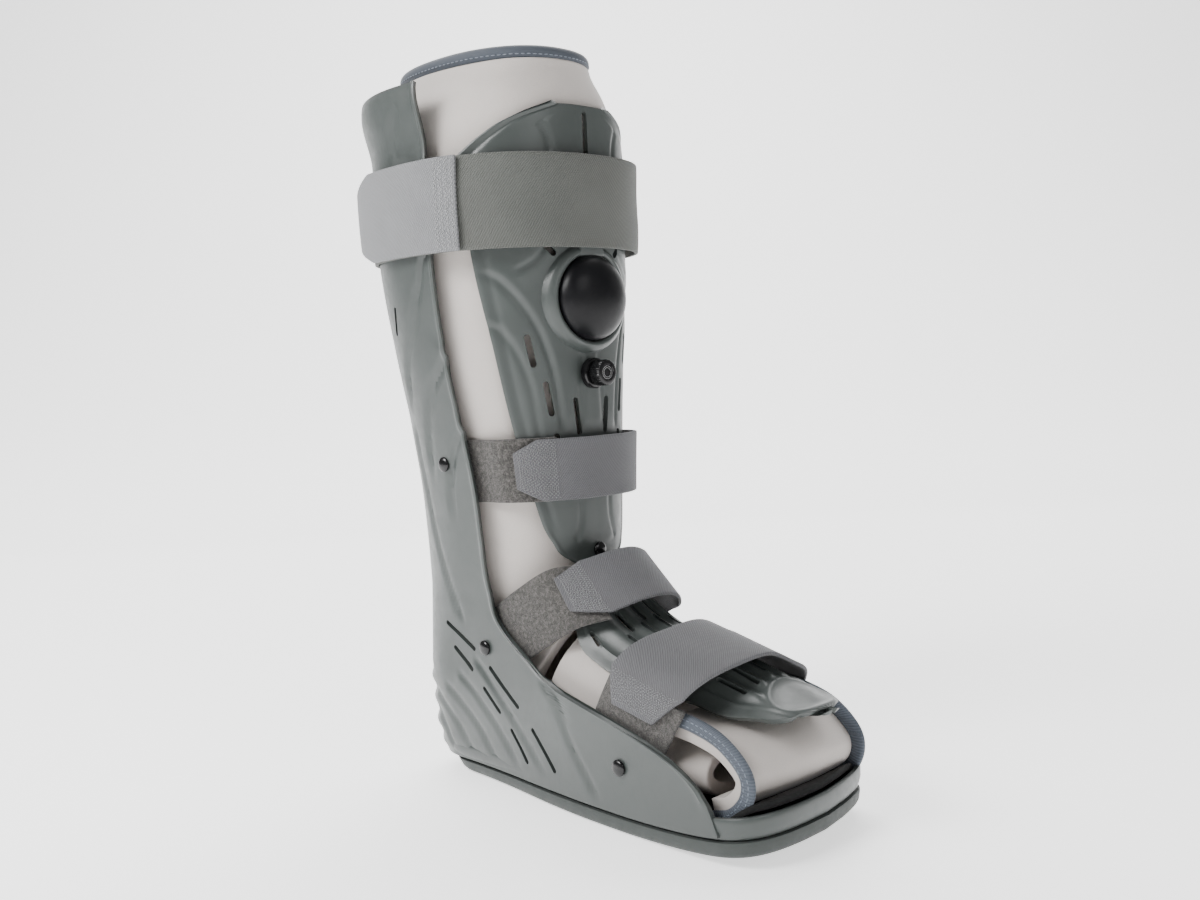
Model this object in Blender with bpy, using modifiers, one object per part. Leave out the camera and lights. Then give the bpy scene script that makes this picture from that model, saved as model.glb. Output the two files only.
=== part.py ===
"""Tall pneumatic walking boot: moulded shells, foam liner, straps, pump and sole.

Metres, +Z up, toe along -Y. The origin lies on the flat of the sole, under the axis of the leg.
"""

import math

import bmesh
import bpy
import numpy as np

# Main sizes
BOOT_HEIGHT = 0.430
SHELL_TOP = 0.411
SOLE_LENGTH = 0.282
SOLE_WIDTH = 0.120
HEEL_BACK = 0.062
CALF_WIDTH = 0.127
CALF_DEPTH = 0.139
FOOT_LINER_WIDTH = 0.090
FOOT_LINER_TOP = 0.098

# Thicknesses and clearances
SHELL_WALL = 0.003
LINER_FOAM = 0.008
OUTSOLE_THICK = 0.009
FLOOR_THICK = 0.0037
INSOLE_THICK = 0.0038
STRAP_THICK = 0.0022
PAD_THICK = 0.0022
FLAP_FOAM = 0.007
BINDING_THICK = 0.0012
REST_GAP = 0.0003
LINER_GAP = 0.0040
SKIN_GAP = 0.0013

# Moulded details
TOE_RIM_HEIGHT = 0.0205
TOE_SPRING = 0.008
HEEL_TUCK = 0.008
WALL_LEAN = 0.003
SHELL_FLARE = 0.010
SLOT_WIDTH = 0.0026
BULB_RADIUS = 0.0245
BULB_RISE = 0.0145
COLLAR_WIDTH = 0.0062
COLLAR_RISE = 0.0045
BULB_CLEAR = 0.0035
VALVE_DROP = 0.0185
VALVE_BASE_RADIUS = 0.0088
VALVE_BASE_LENGTH = 0.004
KNOB_RADIUS = 0.0074
KNOB_LENGTH = 0.0085
RIVET_RADIUS = 0.0044
RIVET_RISE = 0.0022
RIVET_HEIGHT = 0.141

# Straps
CALF_STRAP_WIDTH = 0.052
CALF_STRAP_HEIGHT = 0.340
CALF_STRAP_STAND = 0.0045
SHIN_STRAP_WIDTH = 0.035
SHIN_STRAP_HEIGHT = 0.190
ANKLE_STRAP_WIDTH = 0.036
FOREFOOT_STRAP_WIDTH = 0.050

# Shape of the ovals: 2 is an ellipse, and more is squarer
LEG_POWER = 2.3
TOE_POWER = 4.0
HEEL_POWER = 2.2

# Leg liner, outside: height / BOOT_HEIGHT, half-width / CALF_WIDTH, front and back / CALF_DEPTH
LEG_ROWS = [
    (0.27, 0.327, 0.420, 0.436),
    (0.34, 0.347, 0.418, 0.430),
    (0.42, 0.374, 0.417, 0.428),
    (0.51, 0.413, 0.420, 0.452),
    (0.61, 0.460, 0.425, 0.496),
    (0.73, 0.500, 0.440, 0.545),
    (0.86, 0.500, 0.455, 0.565),
    (0.94, 0.455, 0.452, 0.575),
    (1.00, 0.398, 0.428, 0.560),
]

# Sole outline at the wall's foot: place / SOLE_LENGTH from the heel, half-width / SOLE_WIDTH
SOLE_ROWS = [
    (0.00, 0.325),
    (0.11, 0.325),
    (0.24, 0.345),
    (0.45, 0.402),
    (0.60, 0.438),
    (0.73, 0.462),
    (0.86, 0.488),
    (1.00, 0.500),
]

# Back of the rear shell: height / SHELL_TOP, place behind the leg's axis / HEEL_BACK
BACK_ROWS = [
    (0.02, 1.02),
    (0.05, 1.12),
    (0.10, 1.14),
    (0.16, 1.12),
    (0.22, 1.10),
    (0.29, 1.08),
]

# Free edge of the rear shell: height / SHELL_TOP, place / SOLE_LENGTH from the leg's axis
EDGE_ROWS = [
    (0.030, -0.690),
    (0.050, -0.678),
    (0.072, -0.664),
    (0.092, -0.645),
    (0.112, -0.600),
    (0.131, -0.520),
    (0.151, -0.405),
    (0.172, -0.275),
    (0.205, -0.180),
    (0.245, -0.098),
    (0.295, -0.072),
    (0.365, -0.068),
    (0.430, -0.068),
    (0.510, -0.058),
    (0.580, -0.045),
    (0.660, -0.039),
    (0.757, -0.039),
    (0.850, -0.040),
    (0.940, -0.036),
    (1.000, -0.028),
]

# Heel to instep turn of the liner: turn in degrees, near and far reach / FOOT_LINER_TOP,
# half-width / FOOT_LINER_WIDTH
TURN_ROWS = [
    (0, 0.465, 1.640, 0.512),
    (15, 0.486, 1.700, 0.480),
    (30, 0.542, 1.880, 0.450),
    (38, 0.595, 2.040, 0.446),
    (46, 0.640, 0.000, 0.444),
    (60, 0.660, 0.000, 0.444),
    (66, 0.672, 0.000, 0.452),
    (78, 0.690, 0.000, 0.466),
    (90, 0.720, 0.000, 0.478),
]
LEG_TURNS = 6

# Foot liner, outside: place / SOLE_LENGTH from the leg's axis, top / FOOT_LINER_TOP,
# half-width / FOOT_LINER_WIDTH
FOOT_ROWS = [
    (-0.425, 0.895, 0.482),
    (-0.475, 0.740, 0.488),
    (-0.520, 0.580, 0.486),
    (-0.565, 0.565, 0.475),
    (-0.615, 0.530, 0.445),
]

# Instep shell, outside: place / SOLE_LENGTH from the ankle rivet, crest / FOOT_LINER_TOP,
# half-width / FOOT_LINER_WIDTH, drop of its edge / FOOT_LINER_TOP
INSTEP_ROWS = [
    (0.0179, 1.520, 0.110, 0.010),
    (0.0159, 1.365, 0.130, 0.012),
    (0.0054, 1.315, 0.190, 0.030),
    (-0.0186, 1.275, 0.300, 0.120),
    (-0.0626, 1.225, 0.400, 0.260),
    (-0.1186, 1.115, 0.425, 0.240),
    (-0.1826, 1.030, 0.425, 0.215),
    (-0.2586, 0.980, 0.400, 0.215),
    (-0.3386, 0.925, 0.365, 0.190),
    (-0.4186, 0.855, 0.345, 0.165),
    (-0.4786, 0.800, 0.300, 0.110),
    (-0.5306, 0.755, 0.205, 0.050),
    (-0.5566, 0.728, 0.090, 0.015),
]

# Toe flap, outside on the middle line: place / SOLE_LENGTH, height / FOOT_LINER_TOP, then what its
# side edges lie back by and down by, as the same shares
FLAP_ROWS = [
    (-0.540, 0.680, 0.000, 0.030),
    (-0.570, 0.675, 0.002, 0.033),
    (-0.610, 0.660, 0.004, 0.036),
    (-0.665, 0.620, 0.010, 0.040),
    (-0.708, 0.545, 0.016, 0.038),
    (-0.735, 0.445, 0.022, 0.020),
    (-0.728, 0.335, 0.020, 0.000),
    (-0.690, 0.258, 0.010, 0.000),
    (-0.645, 0.232, 0.000, 0.000),
]
FLAP_WIDTH = 0.092

# Shin shell: height / BOOT_HEIGHT, half-width of the shell / CALF_WIDTH
SHIN_ROWS = [
    (0.312, 0.120),
    (0.322, 0.175),
    (0.345, 0.225),
    (0.400, 0.280),
    (0.480, 0.335),
    (0.600, 0.405),
    (0.730, 0.470),
    (0.860, 0.478),
    (0.875, 0.440),
    (0.900, 0.330),
    (0.917, 0.180),
]

# Slots of the rear shell, as sides of the foot: start and end place / SOLE_LENGTH and height / SHELL_TOP
REAR_SLOTS = [
    (0.085, 0.236, 0.000, 0.204),
    (0.067, 0.200, 0.011, 0.173),
    (-0.053, 0.180, -0.138, 0.134),
    (-0.028, 0.148, -0.071, 0.119),
    (-0.106, 0.095, -0.149, 0.056),
    (-0.181, 0.105, -0.241, 0.056),
    (0.117, 0.696, 0.128, 0.662),
]

# Slots of the shin shell: side share of its half-width and height / BOOT_HEIGHT, at both ends
SHIN_SLOTS = [
    (0.640, 0.615, 0.620, 0.580),
    (0.520, 0.553, 0.500, 0.515),
    (0.480, 0.484, 0.480, 0.457),
    (0.190, 0.530, 0.170, 0.488),
    (0.000, 0.905, 0.000, 0.850),
    (0.370, 0.736, 0.300, 0.724),
]

# Slots of the instep shell: side share of its half-width and place as above, at both ends
INSTEP_SLOTS = [
    (0.820, -0.0786, 0.850, -0.1046),
    (0.420, -0.0986, 0.440, -0.1446),
    (0.140, -0.0886, 0.150, -0.1406),
    (0.560, -0.1506, 0.580, -0.1926),
    (0.290, -0.1506, 0.300, -0.1986),
    (0.000, -0.1446, 0.000, -0.1966),
    (0.620, -0.3686, 0.640, -0.4286),
    (0.330, -0.3686, 0.360, -0.4336),
    (0.000, -0.3686, 0.000, -0.4186),
]

# Rivets of the rear shell: place / SOLE_LENGTH from the leg's axis, height / SHELL_TOP
RIVET_ROWS = [
    ("calf", 0.018, 0.472),
    ("ankle", -0.043, 0.209),
    ("forefoot", -0.447, 0.090),
]

# Path of the ankle strap: side / FOOT_LINER_WIDTH, place / SOLE_LENGTH, height / FOOT_LINER_TOP,
# then the direction from its low to its high edge
ANKLE_PATH = [
    (0.458, -0.040, 0.850, 0.45, 0.89),
    (0.458, -0.100, 0.960, 0.47, 0.88),
    (0.455, -0.170, 1.080, 0.52, 0.85),
    (0.410, -0.245, 1.200, 0.58, 0.81),
    (0.290, -0.300, 1.240, 0.68, 0.73),
    (0.150, -0.332, 1.280, 0.73, 0.68),
    (0.000, -0.342, 1.290, 0.73, 0.68),
]

# Path of the forefoot strap, in the same shares
FOREFOOT_PATH = [
    (0.518, -0.440, 0.360, 0.95, 0.20),
    (0.522, -0.444, 0.500, 0.95, 0.22),
    (0.555, -0.478, 0.640, 0.95, 0.24),
    (0.545, -0.510, 0.800, 0.95, 0.26),
    (0.450, -0.540, 0.905, 0.95, 0.27),
    (0.240, -0.560, 0.955, 0.95, 0.25),
    (0.000, -0.567, 0.965, 0.95, 0.25),
]

BULB_HEIGHT = CALF_STRAP_HEIGHT - CALF_STRAP_WIDTH / 2 - BULB_RADIUS - BULB_CLEAR
VALVE_HEIGHT = BULB_HEIGHT - BULB_RADIUS - VALVE_DROP
FLOOR_TOP = OUTSOLE_THICK + REST_GAP + FLOOR_THICK
INSOLE_TOP = FLOOR_TOP + REST_GAP + INSOLE_THICK
LINER_BOTTOM = INSOLE_TOP + REST_GAP
TOE_FRONT = HEEL_BACK - SOLE_LENGTH
HEEL_CENTRE = HEEL_BACK - 0.13 * SOLE_LENGTH
TOE_CENTRE = TOE_FRONT + 0.16 * SOLE_LENGTH
TOE_CURVE_START = 0.55 * TOE_FRONT
FLARE_START = 0.90 * SHELL_TOP
FLARE_HEIGHT = SHELL_TOP - FLARE_START
RIVET_SHANK = 0.55 * RIVET_RADIUS
VALVE_SHANK = 0.6 * VALVE_BASE_RADIUS
SHELL_PROUD = LINER_GAP + SHELL_WALL
SHIN_PROUD = SKIN_GAP + SHELL_WALL
RING_POINTS = 22
HOLE_SIDES = 10
COLLAR_SIDES = 20

SHELL_GREY = (0.245, 0.265, 0.262)
SOLE_GREY = (0.165, 0.180, 0.178)
LINER_CREAM = (0.560, 0.535, 0.505)
SLATE = (0.115, 0.135, 0.170)
STRAP_GREY = (0.190, 0.190, 0.200)
FELT_GREY = (0.150, 0.142, 0.130)
BLACK = (0.008, 0.008, 0.009)


def clear_scene():
    for item in list(bpy.data.objects):
        bpy.data.objects.remove(item, do_unlink=True)


def new_collection(name, hidden=False):
    made = bpy.data.collections.new(name)
    bpy.context.scene.collection.children.link(made)
    made.hide_render = hidden
    return made


clear_scene()
BOOT = new_collection("medical_walking_boot")
CUTTERS = new_collection("cutters", hidden=True)


def material(name, colour, roughness, metallic=0.0):
    made = bpy.data.materials.new(name)
    made.use_nodes = True
    shader = made.node_tree.nodes["Principled BSDF"]
    shader.inputs["Base Color"].default_value = (*colour, 1.0)
    shader.inputs["Roughness"].default_value = roughness
    shader.inputs["Metallic"].default_value = metallic
    return made


def ease(share):
    share = min(max(share, 0.0), 1.0)
    return share * share * (3.0 - 2.0 * share)


def read_row(rows, at, column):
    """One column of a table at a place in its first column, along a smooth curve."""
    places = np.array([row[0] for row in rows], float)
    values = np.array([row[column] for row in rows], float)
    if places[0] > places[-1]:
        places, values = places[::-1], values[::-1]
    at = min(max(at, places[0]), places[-1])
    slopes = np.gradient(values, places)
    k = min(int(np.searchsorted(places, at, side="right")) - 1, len(places) - 2)
    span = places[k + 1] - places[k]
    t = (at - places[k]) / span
    start = values[k] * (1 + 2 * t) * (1 - t) ** 2 + slopes[k] * span * t * (1 - t) ** 2
    end = values[k + 1] * t * t * (3 - 2 * t) + slopes[k + 1] * span * t * t * (t - 1)
    return float(start + end)


def toe_lift(y):
    """How far the sole curves up at a place, from nothing behind the ball of the foot."""
    share = max(0.0, (TOE_CURVE_START - y) / (TOE_CURVE_START - TOE_FRONT))
    return TOE_SPRING * share * share


def sole_ring(z, inset, tuck):
    """A closed outline at one height, inset all round and tucked in further at the heel."""
    ends = 6
    middle = 9
    back = HEEL_BACK - inset - tuck
    front = TOE_FRONT + inset
    places = [HEEL_CENTRE + (back - HEEL_CENTRE) * math.cos(math.pi / 2 * k / ends) for k in range(ends)]
    places += [HEEL_CENTRE + (TOE_CENTRE - HEEL_CENTRE) * k / middle for k in range(middle)]
    places += [TOE_CENTRE + (front - TOE_CENTRE) * math.sin(math.pi / 2 * k / ends) for k in range(ends + 1)]
    half = []
    for y in places:
        share = (HEEL_BACK - y) / SOLE_LENGTH
        width = read_row(SOLE_ROWS, share, 1) * SOLE_WIDTH - inset - tuck * (1.0 - ease(share / 0.55))
        if y > HEEL_CENTRE:
            reach = min((y - HEEL_CENTRE) / (back - HEEL_CENTRE), 1.0)
            width *= (1.0 - reach**HEEL_POWER) ** (1.0 / HEEL_POWER)
        if y < TOE_CENTRE:
            reach = min((TOE_CENTRE - y) / (TOE_CENTRE - front), 1.0)
            width *= (1.0 - reach**TOE_POWER) ** (1.0 / TOE_POWER)
        half.append((width, y))
    near = [(-width, y) for width, y in half[1:-1]]
    far = [(width, y) for width, y in reversed(half[1:-1])]
    flat = [(0.0, places[0])] + near + [(0.0, places[-1])] + far
    return [(x, y, z + toe_lift(y)) for x, y in flat]


def leg_section(z):
    """Half-width, middle, front depth and back depth of the leg liner at a height."""
    share = z / BOOT_HEIGHT
    half = read_row(LEG_ROWS, share, 1) * CALF_WIDTH
    front = -read_row(LEG_ROWS, share, 2) * CALF_DEPTH
    back = read_row(LEG_ROWS, share, 3) * CALF_DEPTH
    middle = (front + back) / 2
    return half, middle, middle - front, back - middle


def oval(half, front, back, angle):
    """A point of a squared oval, with angle 0 at the front, a right angle at the side +X."""
    s = math.sin(angle)
    c = math.cos(angle)
    power = 2.0 / LEG_POWER
    x = half * math.copysign(abs(s) ** power, s)
    depth = front if c > 0 else back
    return x, -depth * math.copysign(abs(c) ** power, c)


def leg_point(z, angle, proud):
    half, middle, front, back = leg_section(z)
    x, y = oval(half + proud, front + proud, back + proud, angle)
    return x, middle + y, z


def angle_for_side(z, x, proud):
    """The angle at which the leg's surface reaches a side distance x."""
    half = leg_section(z)[0] + proud
    share = min(max(x / half, -1.0), 1.0)
    return math.copysign(math.asin(abs(share) ** (LEG_POWER / 2.0)), x)


def add_mesh(name, points, faces, look, collection=None):
    mesh = bpy.data.meshes.new(name)
    mesh.from_pydata([tuple(p) for p in points], [], faces)
    mesh.validate()
    built = bmesh.new()
    built.from_mesh(mesh)
    bmesh.ops.remove_doubles(built, verts=built.verts, dist=1e-6)
    built.to_mesh(mesh)
    built.free()
    item = bpy.data.objects.new(name, mesh)
    (collection or BOOT).objects.link(item)
    if look:
        mesh.materials.append(look)
    mesh.shade_smooth()
    mesh.set_sharp_from_angle(angle=math.radians(40))
    return item


def grid_faces(rows, columns, around=False):
    faces = []
    for r in range(rows - 1):
        for c in range(columns if around else columns - 1):
            d = (c + 1) % columns
            faces.append((r * columns + c, r * columns + d, (r + 1) * columns + d, (r + 1) * columns + c))
    return faces


def face_out(item):
    """Turns all faces outwards on a closed mesh."""
    built = bmesh.new()
    built.from_mesh(item.data)
    bmesh.ops.recalc_face_normals(built, faces=built.faces)
    if built.calc_volume(signed=True) < 0:
        bmesh.ops.reverse_faces(built, faces=built.faces)
    built.to_mesh(item.data)
    built.free()
    return item


def plate(name, rows, thickness, look, offset=-1.0):
    """A curved wall: a grid of surface points whose faces point out, given a thickness inwards."""
    columns = len(rows[0])
    points = [p for row in rows for p in row]
    item = add_mesh(name, points, grid_faces(len(rows), columns), look)
    wall = item.modifiers.new("wall", "SOLIDIFY")
    wall.thickness = thickness
    wall.offset = offset
    return item


def tube(name, rings, thickness, look):
    """A wall around a hollow, open at both ends, from closed rings of outside points."""
    columns = len(rings[0])
    points = [p for ring in rings for p in ring]
    item = add_mesh(name, points, grid_faces(len(rings), columns, around=True), look)
    wall = item.modifiers.new("wall", "SOLIDIFY")
    wall.thickness = thickness
    wall.offset = -1.0
    return item


def block(name, rings, look, collection=None):
    """A closed body lofted through rings and capped at both ends."""
    columns = len(rings[0])
    points = [p for ring in rings for p in ring]
    faces = grid_faces(len(rings), columns, around=True)
    faces.append(tuple(range(columns)))
    last = (len(rings) - 1) * columns
    faces.append(tuple(last + k for k in range(columns)))
    return face_out(add_mesh(name, points, faces, look, collection))


def sole_block(name, rings, look, collection=None):
    """A closed body through outlines of the sole, whose caps are strips that follow its curve."""
    columns = len(rings[0])
    points = [p for ring in rings for p in ring]
    faces = grid_faces(len(rings), columns, around=True)
    for start in (0, (len(rings) - 1) * columns):
        for k in range(columns // 2):
            near, ahead = k, k + 1
            far, beyond = (columns - k) % columns, columns - k - 1
            face = [near, ahead, beyond, far]
            unique = [start + n for i, n in enumerate(face) if n not in face[:i]]
            faces.append(tuple(unique))
    return face_out(add_mesh(name, points, faces, look, collection))


def turned(name, profile, look, steps=20, collection=None):
    """A round piece about +Z from (radius, height) pairs, running top to bottom."""
    points = [(radius, 0.0, height) for radius, height in profile]
    edges = [(k, k + 1) for k in range(len(points) - 1)]
    mesh = bpy.data.meshes.new(name)
    mesh.from_pydata(points, edges, [])
    item = bpy.data.objects.new(name, mesh)
    (collection or BOOT).objects.link(item)
    if look:
        mesh.materials.append(look)
    screw = item.modifiers.new("turn", "SCREW")
    screw.axis = "Z"
    screw.steps = steps
    screw.render_steps = steps
    screw.use_merge_vertices = True
    screw.merge_threshold = 0.00001
    screw.use_smooth_shade = True
    return item


def applied(item):
    """The object with its modifiers made part of its mesh and its place left as it is."""
    bpy.context.view_layer.update()
    graph = bpy.context.evaluated_depsgraph_get()
    mesh = bpy.data.meshes.new_from_object(item.evaluated_get(graph))
    item.modifiers.clear()
    item.data = mesh
    return item


def point_forward(item, place, tilt=0.0):
    """Turns a round piece so that its +Z points along -Y, and puts it at a place."""
    item.rotation_euler = (math.pi / 2 + tilt, 0.0, 0.0)
    item.location = place


def point_sideways(item, place, side):
    item.rotation_euler = (0.0, side * math.pi / 2, 0.0)
    item.location = place


def boolean(item, other, operation):
    made = item.modifiers.new(operation.lower() + "_" + other.name, "BOOLEAN")
    made.operation = operation
    made.solver = "EXACT"
    made.object = other
    return made


def slot_cutter(name, start, end, along, half_depth, width=SLOT_WIDTH):
    """A round-ended bar through a wall: it follows start to end and reaches half_depth along a direction."""
    start = np.array(start, float)
    end = np.array(end, float)
    along = np.array(along, float)
    along /= np.linalg.norm(along)
    run = end - start
    run -= along * (run @ along)
    run /= np.linalg.norm(run)
    across = np.cross(along, run)
    flat = []
    for k in range(3):
        turn = math.pi * k / 2 - math.pi / 2
        flat.append(end + width / 2 * (run * math.cos(turn) + across * math.sin(turn)))
    for k in range(3):
        turn = math.pi * k / 2 + math.pi / 2
        flat.append(start + width / 2 * (run * math.cos(turn) + across * math.sin(turn)))
    middle = (start + end) / 2
    flat = [p - along * ((p - middle) @ along) for p in flat]
    rings = [[p - along * half_depth for p in flat], [p + along * half_depth for p in flat]]
    item = block(name, rings, None, CUTTERS)
    item.hide_render = True
    item.display_type = "WIRE"
    return item


def hole_cutter(name, radius, length, place, side=None):
    """A round drill whose flats, not its corners, lie at the radius."""
    radius /= math.cos(math.pi / HOLE_SIDES)
    profile = [(0.0, length / 2), (radius, length / 2), (radius, -length / 2), (0.0, -length / 2)]
    item = turned(name, profile, None, HOLE_SIDES, CUTTERS)
    item.hide_render = True
    item.display_type = "WIRE"
    if side:
        point_sideways(item, place, side)
    else:
        point_forward(item, place)
    return item


def wall_half_width(y, z):
    """Outer half-width of the rear shell's straight walls, from the sole's outline up to the leg."""
    share = (HEEL_BACK - y) / SOLE_LENGTH
    foot = read_row(SOLE_ROWS, max(share, 0.13), 1) * SOLE_WIDTH
    foot -= 0.45 * HEEL_TUCK * (1.0 - ease(share / 0.55)) * (1.0 - ease((z - OUTSOLE_THICK) / 0.016))
    foot += WALL_LEAN * (2.0 - ease(share / 0.6)) * ease((z - TOE_RIM_HEIGHT) / (0.12 * SHELL_TOP))
    half = leg_section(max(z, LEG_ROWS[0][0] * BOOT_HEIGHT))[0] + SHELL_PROUD
    half += SHELL_FLARE * ease((z - FLARE_START) / FLARE_HEIGHT)
    return foot + (half - foot) * ease((z - 0.17 * SHELL_TOP) / (0.17 * SHELL_TOP))


def shell_back(z):
    low = read_row(BACK_ROWS, z / SHELL_TOP, 1) * HEEL_BACK
    if z < BACK_ROWS[-1][0] * SHELL_TOP:
        return low
    half, middle, front, back = leg_section(z)
    high = middle + back + SHELL_PROUD
    high += 0.5 * SHELL_FLARE * ease((z - FLARE_START) / FLARE_HEIGHT)
    return low + (high - low) * ease((z - 0.29 * SHELL_TOP) / (0.08 * SHELL_TOP))


def shell_middle(z):
    """Where the rear shell is widest and its round back begins."""
    high = leg_section(z)[1]
    return HEEL_CENTRE + (high - HEEL_CENTRE) * ease((z - 0.15 * SHELL_TOP) / (0.20 * SHELL_TOP))


def shell_row(z, straight=6, turn=6):
    """The rear shell's outside at one height, from the near free edge round the back to the far one."""
    edge = read_row(EDGE_ROWS, z / SHELL_TOP, 1) * SOLE_LENGTH
    middle = shell_middle(z)
    back = shell_back(z)
    side = []
    for k in range(straight):
        y = edge + (middle - edge) * k / straight
        side.append((wall_half_width(y, z), y, 0.0))
    half = wall_half_width(middle, z)
    for k in range(turn + 1):
        angle = math.pi / 2 * k / turn
        x = half * math.cos(angle) ** (2.0 / LEG_POWER)
        y = middle + (back - middle) * math.sin(angle) ** (2.0 / LEG_POWER)
        side.append((x, y, k / turn))
    top_drop = 0.012 * ease((z - FLARE_START) / FLARE_HEIGHT)
    lift = 1.0 - ease((z - TOE_RIM_HEIGHT) / (0.06 * SHELL_TOP))
    near = [(-x, y, z - top_drop * back_share**2 + lift * toe_lift(y)) for x, y, back_share in side]
    far = [(-x, y, z) for x, y, z in reversed(near[:-1])]
    return near + far


def side_of_shell(y, z):
    """The outer half-width of the rear shell at a place on its side."""
    middle = shell_middle(z)
    half = wall_half_width(min(y, middle), z)
    if y > middle:
        reach = (y - middle) / (shell_back(z) - middle)
        half *= (1.0 - reach**LEG_POWER) ** (1.0 / LEG_POWER)
    return half


def make_rear_shell(look):
    heights = [0.027, 0.050, 0.072, 0.092, 0.112, 0.131, 0.151, 0.172, 0.205, 0.245, 0.295]
    heights += [0.400, 0.530, 0.660, 0.757, 0.893, 0.930, 0.965, 1.000]
    rows = [shell_row(share * SHELL_TOP)[::-1] for share in heights]
    shell = applied(plate("rear_shell", rows, SHELL_WALL, look))
    bottom = OUTSOLE_THICK + REST_GAP
    full = 0.016
    inset = SHELL_WALL * 0.16
    rings = [
        sole_ring(bottom, inset + 0.0012, 0.45 * HEEL_TUCK),
        sole_ring(full, inset, 0.0),
        sole_ring(TOE_RIM_HEIGHT, inset, 0.0),
    ]
    tray = sole_block("foot_tray", rings, None, CUTTERS)
    hollow_rings = [
        sole_ring(FLOOR_TOP, SHELL_WALL * 1.25, 0.0),
        sole_ring(BOOT_HEIGHT * 0.08, SHELL_WALL * 1.25, 0.0),
    ]
    hollow = sole_block("foot_hollow", hollow_rings, None, CUTTERS)
    for helper in (tray, hollow):
        helper.hide_render = True
        helper.display_type = "WIRE"
    boolean(tray, hollow, "DIFFERENCE")
    boolean(shell, tray, "UNION")
    for number, (y1, z1, y2, z2) in enumerate(REAR_SLOTS):
        start = (0.0, y1 * SOLE_LENGTH, z1 * SHELL_TOP)
        end = (0.0, y2 * SOLE_LENGTH, z2 * SHELL_TOP)
        cutter = slot_cutter(f"rear_slot_{number}", start, end, (1, 0, 0), 0.7 * CALF_WIDTH)
        boolean(shell, cutter, "DIFFERENCE")
    for name, y, z in RIVET_ROWS:
        place = (0.0, y * SOLE_LENGTH, z * SHELL_TOP)
        hole = hole_cutter(f"{name}_hole", RIVET_SHANK + REST_GAP, 1.4 * CALF_WIDTH, place, 1)
        boolean(shell, hole, "DIFFERENCE")
    return shell


def make_outsole(look):
    rings = [
        sole_ring(0.0, 0.0035, HEEL_TUCK),
        sole_ring(0.0016, 0.0018, 0.85 * HEEL_TUCK),
        sole_ring(OUTSOLE_THICK, 0.0012, 0.5 * HEEL_TUCK),
    ]
    return sole_block("outsole", rings, look)


def make_insole(look):
    inset = SHELL_WALL * 1.25 + 2 * REST_GAP
    low = FLOOR_TOP + REST_GAP
    tuck = 0.45 * HEEL_TUCK
    rings = [sole_ring(low, inset, tuck), sole_ring(INSOLE_TOP, inset + 2 * REST_GAP, tuck)]
    return sole_block("insole", rings, look)


def turn_ring(row):
    """One ring of the liner at the ankle's turn, from its row of TURN_ROWS."""
    turn, near_share, far_share, half_share = row
    pivot = np.array(foot_pivot())
    angle = math.radians(turn)
    aim = np.array([math.cos(angle), -math.sin(angle)])
    far = far_share * FOOT_LINER_TOP
    if not far_share:
        far = (pivot[1] - LINER_BOTTOM) / math.sin(angle)
    start = pivot + near_share * FOOT_LINER_TOP * aim
    return foot_ring(start, pivot + far * aim, half_share * FOOT_LINER_WIDTH)


def make_liner_leg(look):
    shares = [0.42, 0.51, 0.61, 0.73, 0.86, 0.94, 0.978]
    rings = [turn_ring(row) for row in TURN_ROWS[:LEG_TURNS]][::-1]
    for share in shares:
        z = share * BOOT_HEIGHT
        rings.append([leg_point(z, 2 * math.pi * k / RING_POINTS, 0.0) for k in range(RING_POINTS)])
    return tube("liner_leg", rings, LINER_FOAM, look)


def make_liner_top_binding(look):
    """A folded tape over the liner's top rim, seated on it."""
    top = 0.978 * BOOT_HEIGHT + REST_GAP
    half, middle, front, back = leg_section(top)

    def ring(proud, z):
        points = []
        for k in range(RING_POINTS):
            x, y = oval(half + proud, front + proud, back + proud, 2 * math.pi * k / RING_POINTS)
            points.append((x, middle + y, z))
        return points

    height = BOOT_HEIGHT - top
    body = [ring(0.0, top), ring(0.0004, top + 0.5 * height), ring(-0.25 * LINER_FOAM, BOOT_HEIGHT)]
    body += [ring(-0.75 * LINER_FOAM, BOOT_HEIGHT), ring(-LINER_FOAM, top + 0.5 * height)]
    body += [ring(-LINER_FOAM, top)]
    points = [p for line in body + body[:1] for p in line]
    faces = grid_faces(len(body) + 1, RING_POINTS, around=True)
    return face_out(add_mesh("liner_top_binding", points, faces, look))


def foot_pivot():
    """The line in front of the ankle about which the liner turns from leg to foot."""
    return -1.615 * HEEL_BACK, 1.68 * FOOT_LINER_TOP


def foot_ring(near, far, half, columns=RING_POINTS):
    """A closed squared oval between a near and a far point of the middle plane."""
    near = np.array(near)
    far = np.array(far)
    centre = (near + far) / 2
    reach = (far - near) / 2
    ring = []
    for k in range(columns):
        angle = 2 * math.pi * k / columns
        x, y = oval(half, 1.0, 1.0, angle)
        place = centre + reach * y
        ring.append((x, place[0], place[1]))
    return ring


def make_liner_foot(look):
    rings = [turn_ring(row) for row in TURN_ROWS[LEG_TURNS:]]
    for place, top, half in FOOT_ROWS:
        y = place * SOLE_LENGTH
        low = LINER_BOTTOM + toe_lift(y)
        rings.append(foot_ring((y, top * FOOT_LINER_TOP), (y, low), half * FOOT_LINER_WIDTH))
    rings.reverse()
    return tube("liner_foot", rings, LINER_FOAM, look)


def flap_point(row, share, sink=0.0):
    place, height, back, down = row
    y = (place + back * share * share) * SOLE_LENGTH
    z = (height - down * share * share) * FOOT_LINER_TOP
    return share * FLAP_WIDTH / 2, y, z - sink


def make_toe_flap(look):
    shares = [k / 6 for k in range(-6, 7)]
    rows = [[flap_point(row, share) for share in shares] for row in FLAP_ROWS[::-1]]
    return plate("toe_flap", rows, FLAP_FOAM, look)


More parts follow.
